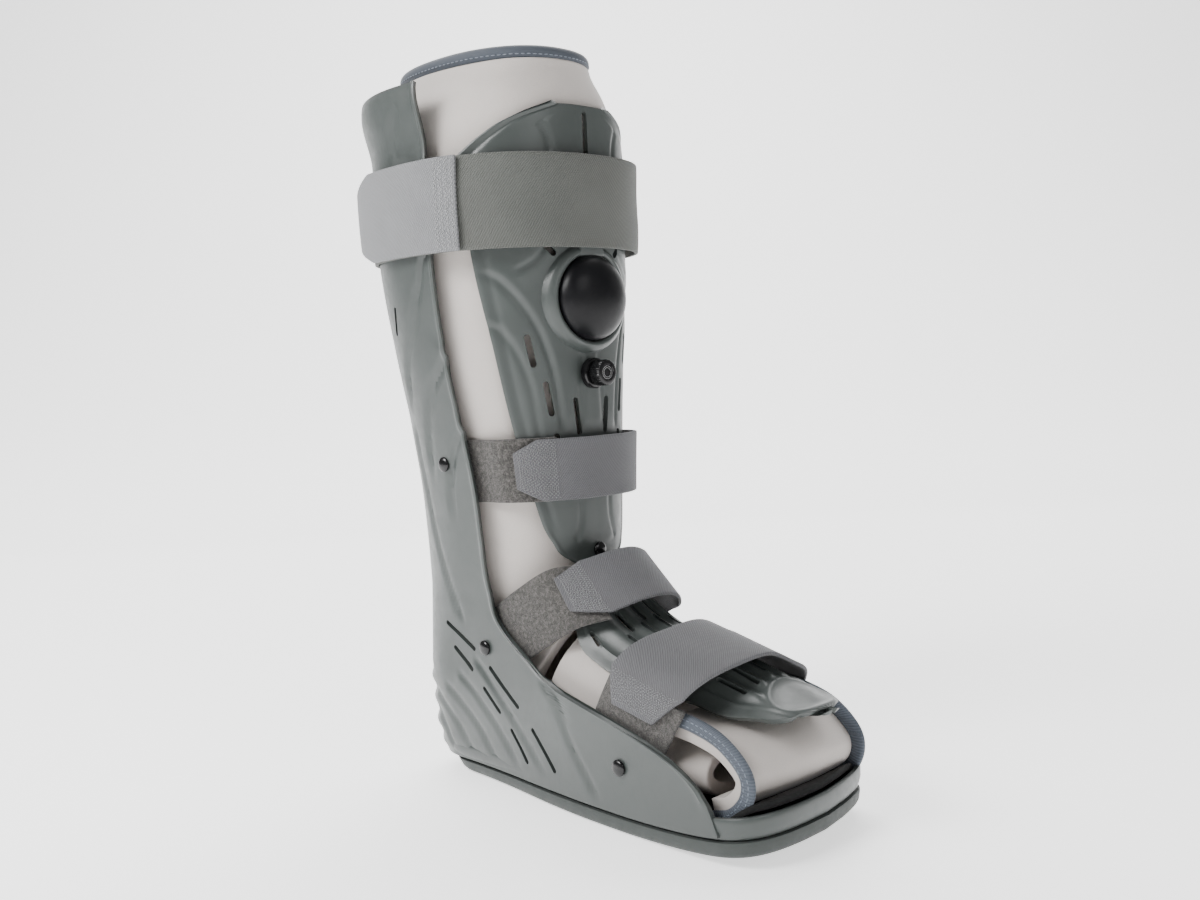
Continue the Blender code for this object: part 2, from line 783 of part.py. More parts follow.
def make_flap_binding(name, side, look):
    """A tape round the flap's side edge, standing just outside it."""
    inner = FLAP_WIDTH / 2 + REST_GAP
    rows = []
    for x in (inner, inner + 2 * BINDING_THICK):
        edge = [flap_point(row, 1.0) for row in FLAP_ROWS]
        rows.append([(side * x, y, z) for _, y, z in edge])
    if side > 0:
        rows.reverse()
    return plate(name, rows, FLAP_FOAM, look, offset=1.0)


def instep_place(share):
    """A place on the foot, from its share of the sole's length in front of the ankle rivet."""
    return front_of_shin(RIVET_HEIGHT) + share * SOLE_LENGTH


def instep_section(y):
    share = (y - front_of_shin(RIVET_HEIGHT)) / SOLE_LENGTH
    crest = read_row(INSTEP_ROWS, share, 1) * FOOT_LINER_TOP
    half = read_row(INSTEP_ROWS, share, 2) * FOOT_LINER_WIDTH
    drop = read_row(INSTEP_ROWS, share, 3) * FOOT_LINER_TOP
    return crest, half, drop


def instep_point(y, share, proud=0.0):
    crest, half, drop = instep_section(y)
    return share * half, y, crest - drop * share * share + proud


def make_instep_shell(look):
    shares = [k / 3 for k in range(-3, 4)]
    rows = []
    for row in INSTEP_ROWS[::-1]:
        rows.append([instep_point(instep_place(row[0]), share) for share in shares])
    shell = applied(plate("instep_shell", rows, SHELL_WALL, look))
    for number, (s1, p1, s2, p2) in enumerate(INSTEP_SLOTS):
        for side in (-1, 1) if s1 else (1,):
            start = instep_point(instep_place(p1), side * s1)
            end = instep_point(instep_place(p2), side * s2)
            aim = (side * 0.35 * s1, -0.25, 1.0)
            cutter = slot_cutter(f"instep_slot_{number}_{side}", start, end, aim, 2 * SHELL_WALL)
            boolean(shell, cutter, "DIFFERENCE")
    place = (0.0, front_of_shin(RIVET_HEIGHT), RIVET_HEIGHT)
    hole = hole_cutter("instep_rivet_hole", RIVET_SHANK + REST_GAP, 0.03, place)
    boolean(shell, hole, "DIFFERENCE")
    return shell


def shin_point(z, share, proud=SHIN_PROUD):
    side = read_row(SHIN_ROWS, z / BOOT_HEIGHT, 1) * CALF_WIDTH
    return leg_point(z, share * angle_for_side(z, side, proud), proud)


def front_of_shin(z):
    return leg_point(z, 0.0, SHIN_PROUD)[1]


def make_shin_shell(look):
    shares = [k / 5 for k in range(-5, 6)]
    rows = []
    places = [row[0] for row in SHIN_ROWS]
    dense = []
    for a, b in zip(places, places[1:]):
        steps = 2 if b - a > 0.1 else 1
        dense += [a + (b - a) * k / steps for k in range(steps)]
    dense.append(places[-1])
    for place in dense:
        rows.append([shin_point(place * BOOT_HEIGHT, share) for share in shares])
    shell = applied(plate("shin_shell", rows, SHELL_WALL, look))
    outer = BULB_RADIUS + COLLAR_WIDTH
    inner = (BULB_RADIUS + REST_GAP) / math.cos(math.pi / COLLAR_SIDES)
    seat = front_of_shin(BULB_HEIGHT)
    profile = [
        (inner, 0.4 * COLLAR_RISE),
        (inner + 0.35 * COLLAR_WIDTH, COLLAR_RISE),
        (inner + 0.7 * COLLAR_WIDTH, COLLAR_RISE),
        (outer, -0.5 * COLLAR_RISE),
        (outer, -0.4 * BULB_RADIUS),
        (0.5 * BULB_RADIUS, -0.4 * BULB_RADIUS),
        (0.5 * BULB_RADIUS, 0.2 * SHELL_WALL),
        (inner, 0.2 * SHELL_WALL),
        (inner, 0.4 * COLLAR_RISE),
    ]
    collar = turned("pump_collar_form", profile, None, COLLAR_SIDES, CUTTERS)
    point_forward(collar, (0.0, seat, BULB_HEIGHT))
    collar.hide_render = True
    collar.display_type = "WIRE"
    trim_rows = []
    for share in (-2.2, -1.5, -0.75, 0.0, 0.6, 1.3, 2.0):
        z = BULB_HEIGHT + share * BULB_RADIUS
        angles = [math.radians(degrees) for degrees in range(-60, 61, 12)]
        trim_rows.append([leg_point(z, angle, SKIN_GAP + 0.4 * SHELL_WALL) for angle in angles])
    trim = applied(plate("collar_trim", trim_rows, 0.3 * CALF_DEPTH, None))
    BOOT.objects.unlink(trim)
    CUTTERS.objects.link(trim)
    trim.hide_render = True
    trim.display_type = "WIRE"
    boolean(collar, trim, "DIFFERENCE")
    boolean(shell, collar, "UNION")
    for number, (s1, h1, s2, h2) in enumerate(SHIN_SLOTS):
        for side in (-1, 1) if s1 else (1,):
            start = shin_point(h1 * BOOT_HEIGHT, side * s1)
            end = shin_point(h2 * BOOT_HEIGHT, side * s2)
            aim = (start[0], 0.75 * start[1], 0.0)
            cutter = slot_cutter(f"shin_slot_{number}_{side}", start, end, aim, 2 * SHELL_WALL)
            boolean(shell, cutter, "DIFFERENCE")
    place = (0.0, front_of_shin(RIVET_HEIGHT), RIVET_HEIGHT)
    rivet_hole = hole_cutter("shin_rivet_hole", RIVET_SHANK + REST_GAP, 0.03, place)
    boolean(shell, rivet_hole, "DIFFERENCE")
    place = (0.0, front_of_shin(VALVE_HEIGHT), VALVE_HEIGHT)
    valve_hole = hole_cutter("valve_hole", VALVE_SHANK, 0.03, place)
    boolean(shell, valve_hole, "DIFFERENCE")
    return shell


def make_pump_bulb(look):
    floor = front_of_shin(BULB_HEIGHT) - 0.2 * SHELL_WALL
    seat = min(floor, front_of_shin(BULB_HEIGHT + BULB_RADIUS)) - REST_GAP
    steps = 7
    radius = BULB_RADIUS
    profile = []
    for k in range(steps + 1):
        angle = math.pi / 2 * k / steps
        profile.append((radius * math.sin(angle), BULB_RISE * math.cos(angle)))
    profile.append((0.0, 0.0))
    bulb = turned("pump_bulb", profile, look, 18)
    point_forward(bulb, (0.0, seat, BULB_HEIGHT))
    return bulb


def make_valve(base_look, knob_look):
    seat = front_of_shin(VALVE_HEIGHT) - 3 * REST_GAP
    shank = VALVE_SHANK - REST_GAP
    base_profile = [
        (0.0, VALVE_BASE_LENGTH),
        (0.82 * VALVE_BASE_RADIUS, VALVE_BASE_LENGTH),
        (VALVE_BASE_RADIUS, 0.7 * VALVE_BASE_LENGTH),
        (VALVE_BASE_RADIUS, 0.0),
        (shank, 0.0),
        (shank, -SHELL_WALL),
        (0.0, -SHELL_WALL),
    ]
    base = turned("valve_base", base_profile, base_look, 20)
    point_forward(base, (0.0, seat, VALVE_HEIGHT))
    knob_profile = [
        (0.0, KNOB_LENGTH),
        (0.86 * KNOB_RADIUS, KNOB_LENGTH),
        (KNOB_RADIUS, 0.92 * KNOB_LENGTH),
        (KNOB_RADIUS, 0.12 * KNOB_LENGTH),
        (0.88 * KNOB_RADIUS, 0.0),
        (0.0, 0.0),
    ]
    knob = turned("valve_knob", knob_profile, knob_look, 20)
    point_forward(knob, (0.0, seat - VALVE_BASE_LENGTH - REST_GAP, VALVE_HEIGHT))
    return base, knob


def rivet_profile(shank_length):
    steps = 3
    profile = []
    for k in range(steps + 1):
        angle = math.pi / 2 * k / steps
        profile.append((RIVET_RADIUS * math.sin(angle), RIVET_RISE * (0.2 + 0.8 * math.cos(angle))))
    profile.append((RIVET_RADIUS, 0.0))
    profile.append((RIVET_SHANK, 0.0))
    profile.append((RIVET_SHANK, -shank_length))
    profile.append((0.0, -shank_length))
    return profile


def make_rivets(look):
    for name, y_share, z_share in RIVET_ROWS:
        y = y_share * SOLE_LENGTH
        z = z_share * SHELL_TOP
        x = side_of_shell(y, z) + 0.0009
        for side, word in ((-1, "near"), (1, "far")):
            rivet = turned(f"{name}_rivet_{word}", rivet_profile(0.8 * SHELL_WALL), look, 10)
            point_sideways(rivet, (side * x, y, z), side)
    z = RIVET_HEIGHT
    rivet = turned("ankle_rivet", rivet_profile(1.9 * SHELL_WALL), look, 10)
    point_forward(rivet, (0.0, front_of_shin(z) - 0.0008, z))


def band(name, stations, thickness, look):
    """A strap: pairs of edge points along its run, given a thickness outwards."""
    rows = [[], [], []]
    for low, high in stations:
        rows[0].append(low)
        rows[1].append(tuple((np.array(low) + np.array(high)) / 2))
        rows[2].append(high)
    item = plate(name, rows, thickness, look)
    item.modifiers["wall"].offset = 1.0
    return item


def stand_off(angle, far_stand, near_stand):
    """How proud of the shells a leg strap runs: close at the back, and standing off in front."""
    front = math.cos(angle)
    share = ease((front + 0.35) / 0.9)
    return near_stand + (far_stand - near_stand) * share


def make_calf_strap(look):
    low = CALF_STRAP_HEIGHT - CALF_STRAP_WIDTH / 2
    high = CALF_STRAP_HEIGHT + CALF_STRAP_WIDTH / 2
    steps = 32
    rows = []
    for z in (low, (low + high) / 2, high):
        row = []
        for k in range(steps):
            angle = 2 * math.pi * k / steps
            flare = SHELL_FLARE * ease((z - FLARE_START) / FLARE_HEIGHT) if math.cos(angle) < 0.3 else 0.0
            proud = stand_off(angle, SHELL_PROUD + CALF_STRAP_STAND - 0.002, SHELL_PROUD + 2 * REST_GAP)
            row.append(leg_point(z, angle, proud + flare))
        rows.append(row)
    points = [p for row in rows for p in row]
    item = add_mesh("calf_strap_band", points, grid_faces(3, steps, around=True), look)
    wall = item.modifiers.new("wall", "SOLIDIFY")
    wall.thickness = STRAP_THICK
    wall.offset = 1.0
    tab_rows = []
    count = 10
    for z in (low, low + 0.25 * CALF_STRAP_WIDTH, high - 0.25 * CALF_STRAP_WIDTH, high):
        row = []
        for k in range(count):
            share = k / (count - 1)
            corner = 0.38 * (1.0 if z in (low, high) else 0.0)
            angle = -math.radians(62 + 75 * share * (1.0 - corner))
            lift = 0.004 * ease((share - 0.45) / 0.55)
            proud = stand_off(angle, SHELL_PROUD + CALF_STRAP_STAND - 0.002, SHELL_PROUD + 2 * REST_GAP)
            row.append(leg_point(z, angle, proud + STRAP_THICK + 4 * REST_GAP + lift))
        row.reverse()
        tab_rows.append(row)
    tab = plate("calf_strap_tab", tab_rows, STRAP_THICK, look)
    tab.modifiers["wall"].offset = 1.0


def make_shin_strap(strap_look, pad_look):
    low = SHIN_STRAP_HEIGHT - SHIN_STRAP_WIDTH / 2
    high = SHIN_STRAP_HEIGHT + SHIN_STRAP_WIDTH / 2
    inside = 0.75 * SKIN_GAP
    over_shell = SHIN_PROUD + SKIN_GAP
    pad = []
    for k in range(11):
        angle = -math.radians(108 - 8.4 * k)
        share = ease((73 - math.degrees(abs(angle))) / 18)
        proud = inside + (over_shell - inside) * share
        pad.append((leg_point(low, angle, proud), leg_point(high, angle, proud)))
    band("shin_strap_pad", pad, PAD_THICK, pad_look)
    strap = []
    for k in range(19):
        degrees = -50 + 8.6 * k
        angle = math.radians(degrees)
        if degrees < 50:
            proud = over_shell + PAD_THICK + SKIN_GAP
            proud += 0.004 * math.sin(math.pi * (degrees + 50) / 100)
        else:
            share = ease((degrees - 50) / 22)
            proud = over_shell + PAD_THICK + SKIN_GAP + (inside - over_shell - PAD_THICK - SKIN_GAP) * share
        tip = 0.28 * SHIN_STRAP_WIDTH * (1.0 - min(k / 1.0, 1.0))
        strap.append((leg_point(low + tip, angle, proud), leg_point(high - tip, angle, proud)))
    band("shin_strap", strap, STRAP_THICK, strap_look)


def saddle(points, width, steps, near_tip=0.0):
    """Edge pairs of a strap along a path of (x, y, z, edge direction y, edge direction z)."""
    path = np.array(points, float)
    numbered = [(k, *row) for k, row in enumerate(path)]
    places = np.linspace(0, len(path) - 1, steps)
    stations = []
    for number, place in enumerate(places):
        row = [read_row(numbered, place, column + 1) for column in range(path.shape[1])]
        centre = np.array(row[:3])
        across = np.array([0.0, row[3], row[4]])
        across /= np.linalg.norm(across)
        half = width / 2 - (near_tip if number == 0 else 0.0)
        stations.append((tuple(centre - across * half), tuple(centre + across * half)))
    return stations


def real_path(rows, side):
    scaled = []
    for x, y, z, dy, dz in rows:
        scaled.append((side * x * FOOT_LINER_WIDTH, y * SOLE_LENGTH, z * FOOT_LINER_TOP, dy, dz))
    return scaled


def make_foot_straps(strap_look, pad_look):
    for name, rows, width, tab_row in (
        ("ankle_strap", ANKLE_PATH, ANKLE_STRAP_WIDTH, 3),
        ("forefoot_strap", FOREFOOT_PATH, FOREFOOT_STRAP_WIDTH, 2),
    ):
        near = real_path(rows, -1)
        far = real_path(rows, 1)
        pad_path = near[: tab_row + 2]
        band(name + "_pad", saddle(pad_path, width, 12), PAD_THICK, pad_look)
        lifted = []
        lift = PAD_THICK + 1.8 * SKIN_GAP
        full = near[tab_row:] + far[::-1][1:]
        for x, y, z, dy, dz in full:
            outward = np.array([x / FOOT_LINER_WIDTH, -0.55 * dz, 0.85 * dy])
            outward /= np.linalg.norm(outward)
            near_share = 1.0 - ease(x / (0.5 * FOOT_LINER_WIDTH))
            shift = outward * lift * near_share
            lifted.append((x + shift[0], y + shift[1], z + shift[2], dy, dz))
        band(name, saddle(lifted, width, 22, 0.22 * width), STRAP_THICK, strap_look)


def main():
    shell_look = material("shell_plastic", SHELL_GREY, 0.45)
    sole_look = material("sole_rubber", SOLE_GREY, 0.7)
    liner_look = material("liner_foam", LINER_CREAM, 0.9)
    binding_look = material("binding_tape", SLATE, 0.8)
    strap_look = material("strap_webbing", STRAP_GREY, 0.8)
    pad_look = material("loop_felt", FELT_GREY, 0.95)
    black_look = material("black_plastic", BLACK, 0.3)
    insole_look = material("insole_foam", BLACK, 0.95)
    make_outsole(sole_look)
    make_rear_shell(shell_look)
    make_insole(insole_look)
    make_liner_leg(liner_look)
    make_liner_top_binding(binding_look)
    make_liner_foot(liner_look)
    make_toe_flap(liner_look)
    make_flap_binding("toe_flap_binding_near", -1, binding_look)
    make_flap_binding("toe_flap_binding_far", 1, binding_look)
    make_shin_shell(shell_look)
    make_instep_shell(shell_look)
    make_pump_bulb(black_look)
    make_valve(black_look, black_look)
    make_rivets(black_look)
    make_calf_strap(strap_look)
    make_shin_strap(strap_look, pad_look)
    make_foot_straps(strap_look, pad_look)


main()
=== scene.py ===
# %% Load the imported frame
import math

import bmesh
import bpy
import numpy as np
from mathutils import Matrix, Vector


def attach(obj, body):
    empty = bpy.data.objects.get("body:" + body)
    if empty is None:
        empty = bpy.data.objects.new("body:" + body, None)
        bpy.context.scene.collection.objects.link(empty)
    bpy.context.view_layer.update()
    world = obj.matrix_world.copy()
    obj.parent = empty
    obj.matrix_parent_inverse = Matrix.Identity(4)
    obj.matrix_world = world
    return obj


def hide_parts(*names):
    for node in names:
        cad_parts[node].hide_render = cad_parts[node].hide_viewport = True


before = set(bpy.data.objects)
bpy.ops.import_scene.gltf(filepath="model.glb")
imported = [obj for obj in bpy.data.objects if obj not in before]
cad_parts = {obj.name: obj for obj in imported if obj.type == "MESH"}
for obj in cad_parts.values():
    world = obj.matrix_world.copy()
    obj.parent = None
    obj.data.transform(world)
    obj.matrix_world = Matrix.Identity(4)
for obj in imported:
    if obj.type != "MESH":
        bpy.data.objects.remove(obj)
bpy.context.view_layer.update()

BODY = "boot"

# %% [markdown]
# A tall walking boot is a stiff shell worn over a foam liner. The shell is moulded plastic: a rear
# half that carries the foot, a shin plate and an instep plate. Four straps pull the plates against
# the liner. Nearly every piece follows one of two surfaces, the oval of the leg and the outline of
# the sole, so both are written once here, as tables of shares that smooth curves run through.

# %% Sizes in metres
BOOT_HEIGHT = 0.430
SHELL_TOP = 0.411
SOLE_LENGTH = 0.282
SOLE_WIDTH = 0.120
HEEL_BACK = 0.062
CALF_WIDTH = 0.127
CALF_DEPTH = 0.139
FOOT_LINER_WIDTH = 0.090
FOOT_LINER_TOP = 0.098
SHELL_WALL = 0.003
LINER_FOAM = 0.008
OUTSOLE_THICK = 0.009
FLOOR_THICK = 0.0037
INSOLE_THICK = 0.0038
INSOLE_FRONT_RISE = 0.0085
TOE_SKEW = 0.009
STRAP_THICK = 0.0022
PAD_THICK = 0.0022
FLAP_FOAM = 0.007
REST_GAP = 0.0003
LINER_GAP = 0.0040
SKIN_GAP = 0.0013
TOE_RIM_HEIGHT = 0.0205
TOE_SPRING = 0.008
HEEL_TUCK = 0.008
WALL_LEAN = 0.003
SHELL_FLARE = 0.010
SLOT_WIDTH = 0.0030
BULB_RADIUS = 0.0245
BULB_RISE = 0.0145
COLLAR_WIDTH = 0.0066
COLLAR_RISE = 0.0045
BULB_HEIGHT = 0.286
VALVE_HEIGHT = 0.243
RIVET_RADIUS = 0.0044
RIVET_RISE = 0.0022
RIVET_HEIGHT = 0.141
CALF_STRAP_WIDTH = 0.052
CALF_STRAP_HEIGHT = 0.340
CALF_STRAP_STAND = 0.0045
SHIN_STRAP_WIDTH = 0.035
SHIN_STRAP_HEIGHT = 0.190
ANKLE_STRAP_WIDTH = 0.036
FOREFOOT_STRAP_WIDTH = 0.050
LEG_POWER = 2.3
TOE_POWER = 4.0
HEEL_POWER = 2.2
FLOOR_TOP = OUTSOLE_THICK + REST_GAP + FLOOR_THICK
INSOLE_TOP = FLOOR_TOP + REST_GAP + INSOLE_THICK
LINER_BOTTOM = INSOLE_TOP + REST_GAP
TOE_FRONT = HEEL_BACK - SOLE_LENGTH
HEEL_CENTRE = HEEL_BACK - 0.13 * SOLE_LENGTH
TOE_CENTRE = TOE_FRONT + 0.16 * SOLE_LENGTH
TOE_CURVE_START = 0.55 * TOE_FRONT
FLARE_START = 0.90 * SHELL_TOP
FLARE_HEIGHT = SHELL_TOP - FLARE_START
SHELL_PROUD = LINER_GAP + SHELL_WALL
SHIN_PROUD = SKIN_GAP + SHELL_WALL
print("boot height", BOOT_HEIGHT, "sole length", SOLE_LENGTH)

# %% Tables of the leg, the sole and the shell
# Leg liner: height / BOOT_HEIGHT, half-width / CALF_WIDTH, front and back / CALF_DEPTH
LEG_ROWS = [
    (0.27, 0.327, 0.420, 0.436),
    (0.34, 0.347, 0.418, 0.430),
    (0.42, 0.374, 0.417, 0.428),
    (0.51, 0.413, 0.420, 0.452),
    (0.61, 0.460, 0.425, 0.496),
    (0.73, 0.500, 0.440, 0.545),
    (0.86, 0.500, 0.455, 0.565),
    (0.94, 0.455, 0.452, 0.575),
    (1.00, 0.398, 0.428, 0.560),
]
# Sole outline: place / SOLE_LENGTH from the heel, half-width / SOLE_WIDTH
SOLE_ROWS = [
    (0.00, 0.325),
    (0.11, 0.325),
    (0.24, 0.345),
    (0.45, 0.402),
    (0.60, 0.438),
    (0.73, 0.462),
    (0.86, 0.488),
    (1.00, 0.500),
]
# Back of the rear shell: height / SHELL_TOP, place / HEEL_BACK
BACK_ROWS = [(0.02, 1.02), (0.05, 1.12), (0.10, 1.14), (0.16, 1.12), (0.22, 1.10), (0.29, 1.08)]
# Free edge of the rear shell: height / SHELL_TOP, place / SOLE_LENGTH
EDGE_ROWS = [
    (0.030, -0.690),
    (0.050, -0.678),
    (0.072, -0.664),
    (0.092, -0.645),
    (0.112, -0.600),
    (0.131, -0.520),
    (0.151, -0.405),
    (0.172, -0.275),
    (0.205, -0.180),
    (0.245, -0.098),
    (0.295, -0.072),
    (0.365, -0.068),
    (0.430, -0.068),
    (0.510, -0.058),
    (0.580, -0.045),
    (0.660, -0.039),
    (0.757, -0.039),
    (0.850, -0.040),
    (0.940, -0.036),
    (1.000, -0.028),
]
print("tables:", len(LEG_ROWS), "leg rows,", len(EDGE_ROWS), "edge rows")


# %% Smooth curves through a table
def ease(share):
    share = np.clip(share, 0.0, 1.0)
    return share * share * (3.0 - 2.0 * share)


def bell(distance, width):
    """A smooth hump, 1 at no distance, that has died away two widths off."""
    return np.exp(-((distance / width) ** 2))


def smooth(table, column):
    """A smooth curve through one column of a table, read at any place in the first column."""
    rows = sorted(table)
    places = np.array([row[0] for row in rows], float)
    values = np.array([row[column] for row in rows], float)
    slopes = np.gradient(values, places)

    def read(at):
        at = np.clip(at, places[0], places[-1])
        k = np.clip(np.searchsorted(places, at, side="right") - 1, 0, len(places) - 2)
        span = places[k + 1] - places[k]
        t = (at - places[k]) / span
        start = values[k] * (1 + 2 * t) * (1 - t) ** 2 + slopes[k] * span * t * (1 - t) ** 2
        end = values[k + 1] * t * t * (3 - 2 * t) + slopes[k + 1] * span * t * t * (t - 1)
        return start + end

    return read


leg_half, leg_front, leg_back = (smooth(LEG_ROWS, column) for column in (1, 2, 3))
sole_half = smooth(SOLE_ROWS, 1)
back_place = smooth(BACK_ROWS, 1)
edge_place = smooth(EDGE_ROWS, 1)
print("calf half-width at strap height:", round(float(leg_half(0.79)) * CALF_WIDTH, 4))


# %% The oval of the leg
def leg_section(z):
    share = np.asarray(z) / BOOT_HEIGHT
    front = -leg_front(share) * CALF_DEPTH
    back = leg_back(share) * CALF_DEPTH
    middle = (front + back) / 2
    return leg_half(share) * CALF_WIDTH, middle, middle - front, back - middle


def oval(half, front, back, angle):
    """A point of a squared oval, with angle 0 at the front and a right angle at the side +X."""
    s, c = np.sin(angle), np.cos(angle)
    x = half * np.sign(s) * np.abs(s) ** (2.0 / LEG_POWER)
    depth = np.where(c > 0, front, back)
    return x, -depth * np.sign(c) * np.abs(c) ** (2.0 / LEG_POWER)


def leg_point(z, angle, proud):
    z, angle, proud = np.broadcast_arrays(*(np.asarray(a, float) for a in (z, angle, proud)))
    half, middle, front, back = leg_section(z)
    x, y = oval(half + proud, front + proud, back + proud, angle)
    return np.stack([x, middle + y, z], axis=-1)


def angle_for_side(z, x, proud):
    half = leg_section(z)[0] + proud
    share = np.clip(x / half, -1.0, 1.0)
    return np.sign(x) * np.arcsin(np.abs(share) ** (LEG_POWER / 2.0))


def toe_lift(y):
    share = np.maximum(0.0, (TOE_CURVE_START - y) / (TOE_CURVE_START - TOE_FRONT))
    return TOE_SPRING * share * share


print("front of the shin at the pump:", leg_point(BULB_HEIGHT, 0.0, SHIN_PROUD).round(4))


# %% The outline of the sole
def sole_ring(z, inset, tuck, ends=22, middle=40):
    back = HEEL_BACK - inset - tuck
    front = TOE_FRONT + inset
    turn = np.pi / 2 * np.arange(ends) / ends
    y = np.concatenate([
        HEEL_CENTRE + (back - HEEL_CENTRE) * np.cos(turn),
        np.linspace(HEEL_CENTRE, TOE_CENTRE, middle, endpoint=False),
        TOE_CENTRE + (front - TOE_CENTRE) * np.sin(np.append(turn, np.pi / 2)),
    ])
    share = (HEEL_BACK - y) / SOLE_LENGTH
    x = sole_half(share) * SOLE_WIDTH - inset - tuck * (1.0 - ease(share / 0.55))
    heel = np.clip((y - HEEL_CENTRE) / (back - HEEL_CENTRE), 0.0, 1.0)
    toe = np.clip((TOE_CENTRE - y) / (TOE_CENTRE - front), 0.0, 1.0)
    x *= (1.0 - heel**HEEL_POWER) ** (1.0 / HEEL_POWER)
    x *= (1.0 - toe**TOE_POWER) ** (1.0 / TOE_POWER)
    x[0] = x[-1] = 0.0
    x = np.concatenate([-x, x[-2:0:-1]])
    y = np.concatenate([y, y[-2:0:-1]])
    skewed = y + TOE_SKEW * ease((x + 0.01) / 0.06) * ease((-0.12 - y) / 0.08)
    return np.stack([x, skewed, z + toe_lift(y)], axis=-1)


print("points round the sole:", len(sole_ring(0.0, 0.0, 0.0)))


# %% [markdown]
# Meshes are made from grids: a rule gives a row of points, rows are joined by quads, and the grid
# then gets its wall from a Solidify modifier and rounded rims from a Bevel modifier. Each helper
# bakes its modifiers, so the finished piece is a plain mesh that sits at the origin.

# %% Helpers that make meshes
WELD_DISTANCE = 1e-7
RIM_ANGLE = math.radians(55)
SMOOTH_ANGLE = 38
TURNED_ANGLE = 34
CUT_ANGLE = 30
THREAD_ANGLE = 80


def unit(vectors):
    return vectors / np.linalg.norm(vectors, axis=-1, keepdims=True)


def add_object(name, data):
    item = bpy.data.objects.new(name, data)
    bpy.context.scene.collection.objects.link(item)
    return item


def discard(item):
    """Removes a helper object with its mesh."""
    mesh = item.data
    bpy.data.objects.remove(item)
    bpy.data.meshes.remove(mesh)


def grid_piece(name, grid, around=False, uv=True):
    """A quad grid from an array of rows x columns x 3, with lengths in metres as its UV map."""
    grid = np.asarray(grid, float)
    rows, columns = grid.shape[:2]
    index = np.arange(rows * columns).reshape(rows, columns)
    ahead = np.roll(index, -1, axis=1) if around else index[:, 1:]
    here = index if around else index[:, :-1]
    faces = np.stack([here[:-1], ahead[:-1], ahead[1:], here[1:]], axis=-1).reshape(-1, 4)
    mesh = bpy.data.meshes.new(name)
    mesh.from_pydata(grid.reshape(-1, 3).tolist(), [], faces.tolist())
    if uv:
        along = np.zeros((rows, columns))
        along[:, 1:] = np.cumsum(np.linalg.norm(np.diff(grid, axis=1), axis=-1), axis=1)
        across = np.zeros((rows, columns))
        across[1:] = np.cumsum(np.linalg.norm(np.diff(grid, axis=0), axis=-1), axis=0)
        flat = np.stack([along, across], axis=-1).reshape(-1, 2)
        layer = mesh.uv_layers.new(name="UVMap")
        corner = np.zeros(len(mesh.loops), np.int64)
        mesh.loops.foreach_get("vertex_index", corner)
        layer.data.foreach_set("uv", flat[corner].astype(np.float32).ravel())
    return add_object(name, mesh)


def baked(item):
    """The object with its modifiers turned into plain mesh."""
    bpy.context.view_layer.update()
    graph = bpy.context.evaluated_depsgraph_get()
    mesh = bpy.data.meshes.new_from_object(item.evaluated_get(graph))
    item.modifiers.clear()
    old = item.data
    item.data = mesh
    bpy.data.meshes.remove(old)
    return item


def soften(item, angle=SMOOTH_ANGLE):
    item.data.shade_smooth()
    item.data.set_sharp_from_angle(angle=math.radians(angle))
    return item


def add_wall(item, thickness, bevel=0.0, offset=-1.0, segments=3, even=True):
    wall = item.modifiers.new("wall", "SOLIDIFY")
    wall.thickness = thickness
    wall.offset = offset
    wall.use_even_offset = even
    if bevel:
        rim = item.modifiers.new("rim", "BEVEL")
        rim.width = bevel
        rim.segments = segments
        rim.limit_method = "ANGLE"
        rim.angle_limit = RIM_ANGLE
    return soften(baked(item))


def edit_mesh(item, *steps):
    """Runs bmesh steps on an object's mesh, then turns its normals outwards."""
    built = bmesh.new()
    built.from_mesh(item.data)
    for step in steps:
        step(built)
    bmesh.ops.recalc_face_normals(built, faces=built.faces)
    built.to_mesh(item.data)
    built.free()
    return item


def weld(built):
    bmesh.ops.remove_doubles(built, verts=built.verts, dist=WELD_DISTANCE)


def fill_ends(built):
    bmesh.ops.holes_fill(built, edges=built.edges, sides=0)


def ring_loft(name, rings, close_ends=False, loop=False):
    """Closed rings joined into a tube. loop joins the last ring to the first."""
    rings = np.asarray(rings, float)
    if loop:
        rings = np.concatenate([rings, rings[:1]])
    steps = [weld] * loop + [fill_ends] * close_ends
    return soften(edit_mesh(grid_piece(name, rings, around=True, uv=False), *steps))


def sole_loft(name, section):
    """Outlines of the sole joined into a closed body, capped by strips that follow its curve.

    Each row of the section gives a height, an inset and a share of the heel's tuck, from the bottom up."""
    rings = [sole_ring(height, inset, tuck * HEEL_TUCK) for height, inset, tuck in section]
    count = len(rings[0])

    def cap_ends(built):
        built.verts.ensure_lookup_table()
        for start in (0, (len(rings) - 1) * count):
            for k in range(count // 2):
                corners = dict.fromkeys([k, k + 1, count - k - 1, (count - k) % count])
                built.faces.new([built.verts[start + n] for n in corners])

    return soften(edit_mesh(grid_piece(name, rings, around=True, uv=False), cap_ends))


def lathe(name, profile, place, direction, steps=72, ribs=0, rib_depth=0.0, rib_rows=()):
    """A turned piece along a direction, from (radius, height) pairs. ribs knurls the named rows."""
    angle = 2 * np.pi * np.arange(steps) / steps
    rows = []
    for number, (radius, height) in enumerate(profile):
        swell = rib_depth * np.cos(ribs * angle) if number in rib_rows else 0.0
        rows.append(np.stack([(radius + swell) * np.cos(angle), (radius + swell) * np.sin(angle),
                              np.full(steps, height)], axis=-1))
    turn = Vector((0, 0, 1)).rotation_difference(Vector(direction)).to_matrix()
    points = np.asarray(rows) @ np.array(turn).T + np.array(place)
    return soften(edit_mesh(ring_loft(name, points), weld), TURNED_ANGLE)


print("mesh helpers ready")


# %% Helpers for curves, relief and slots
PLATE_BAR_DEPTH = 2.5 * SHELL_WALL


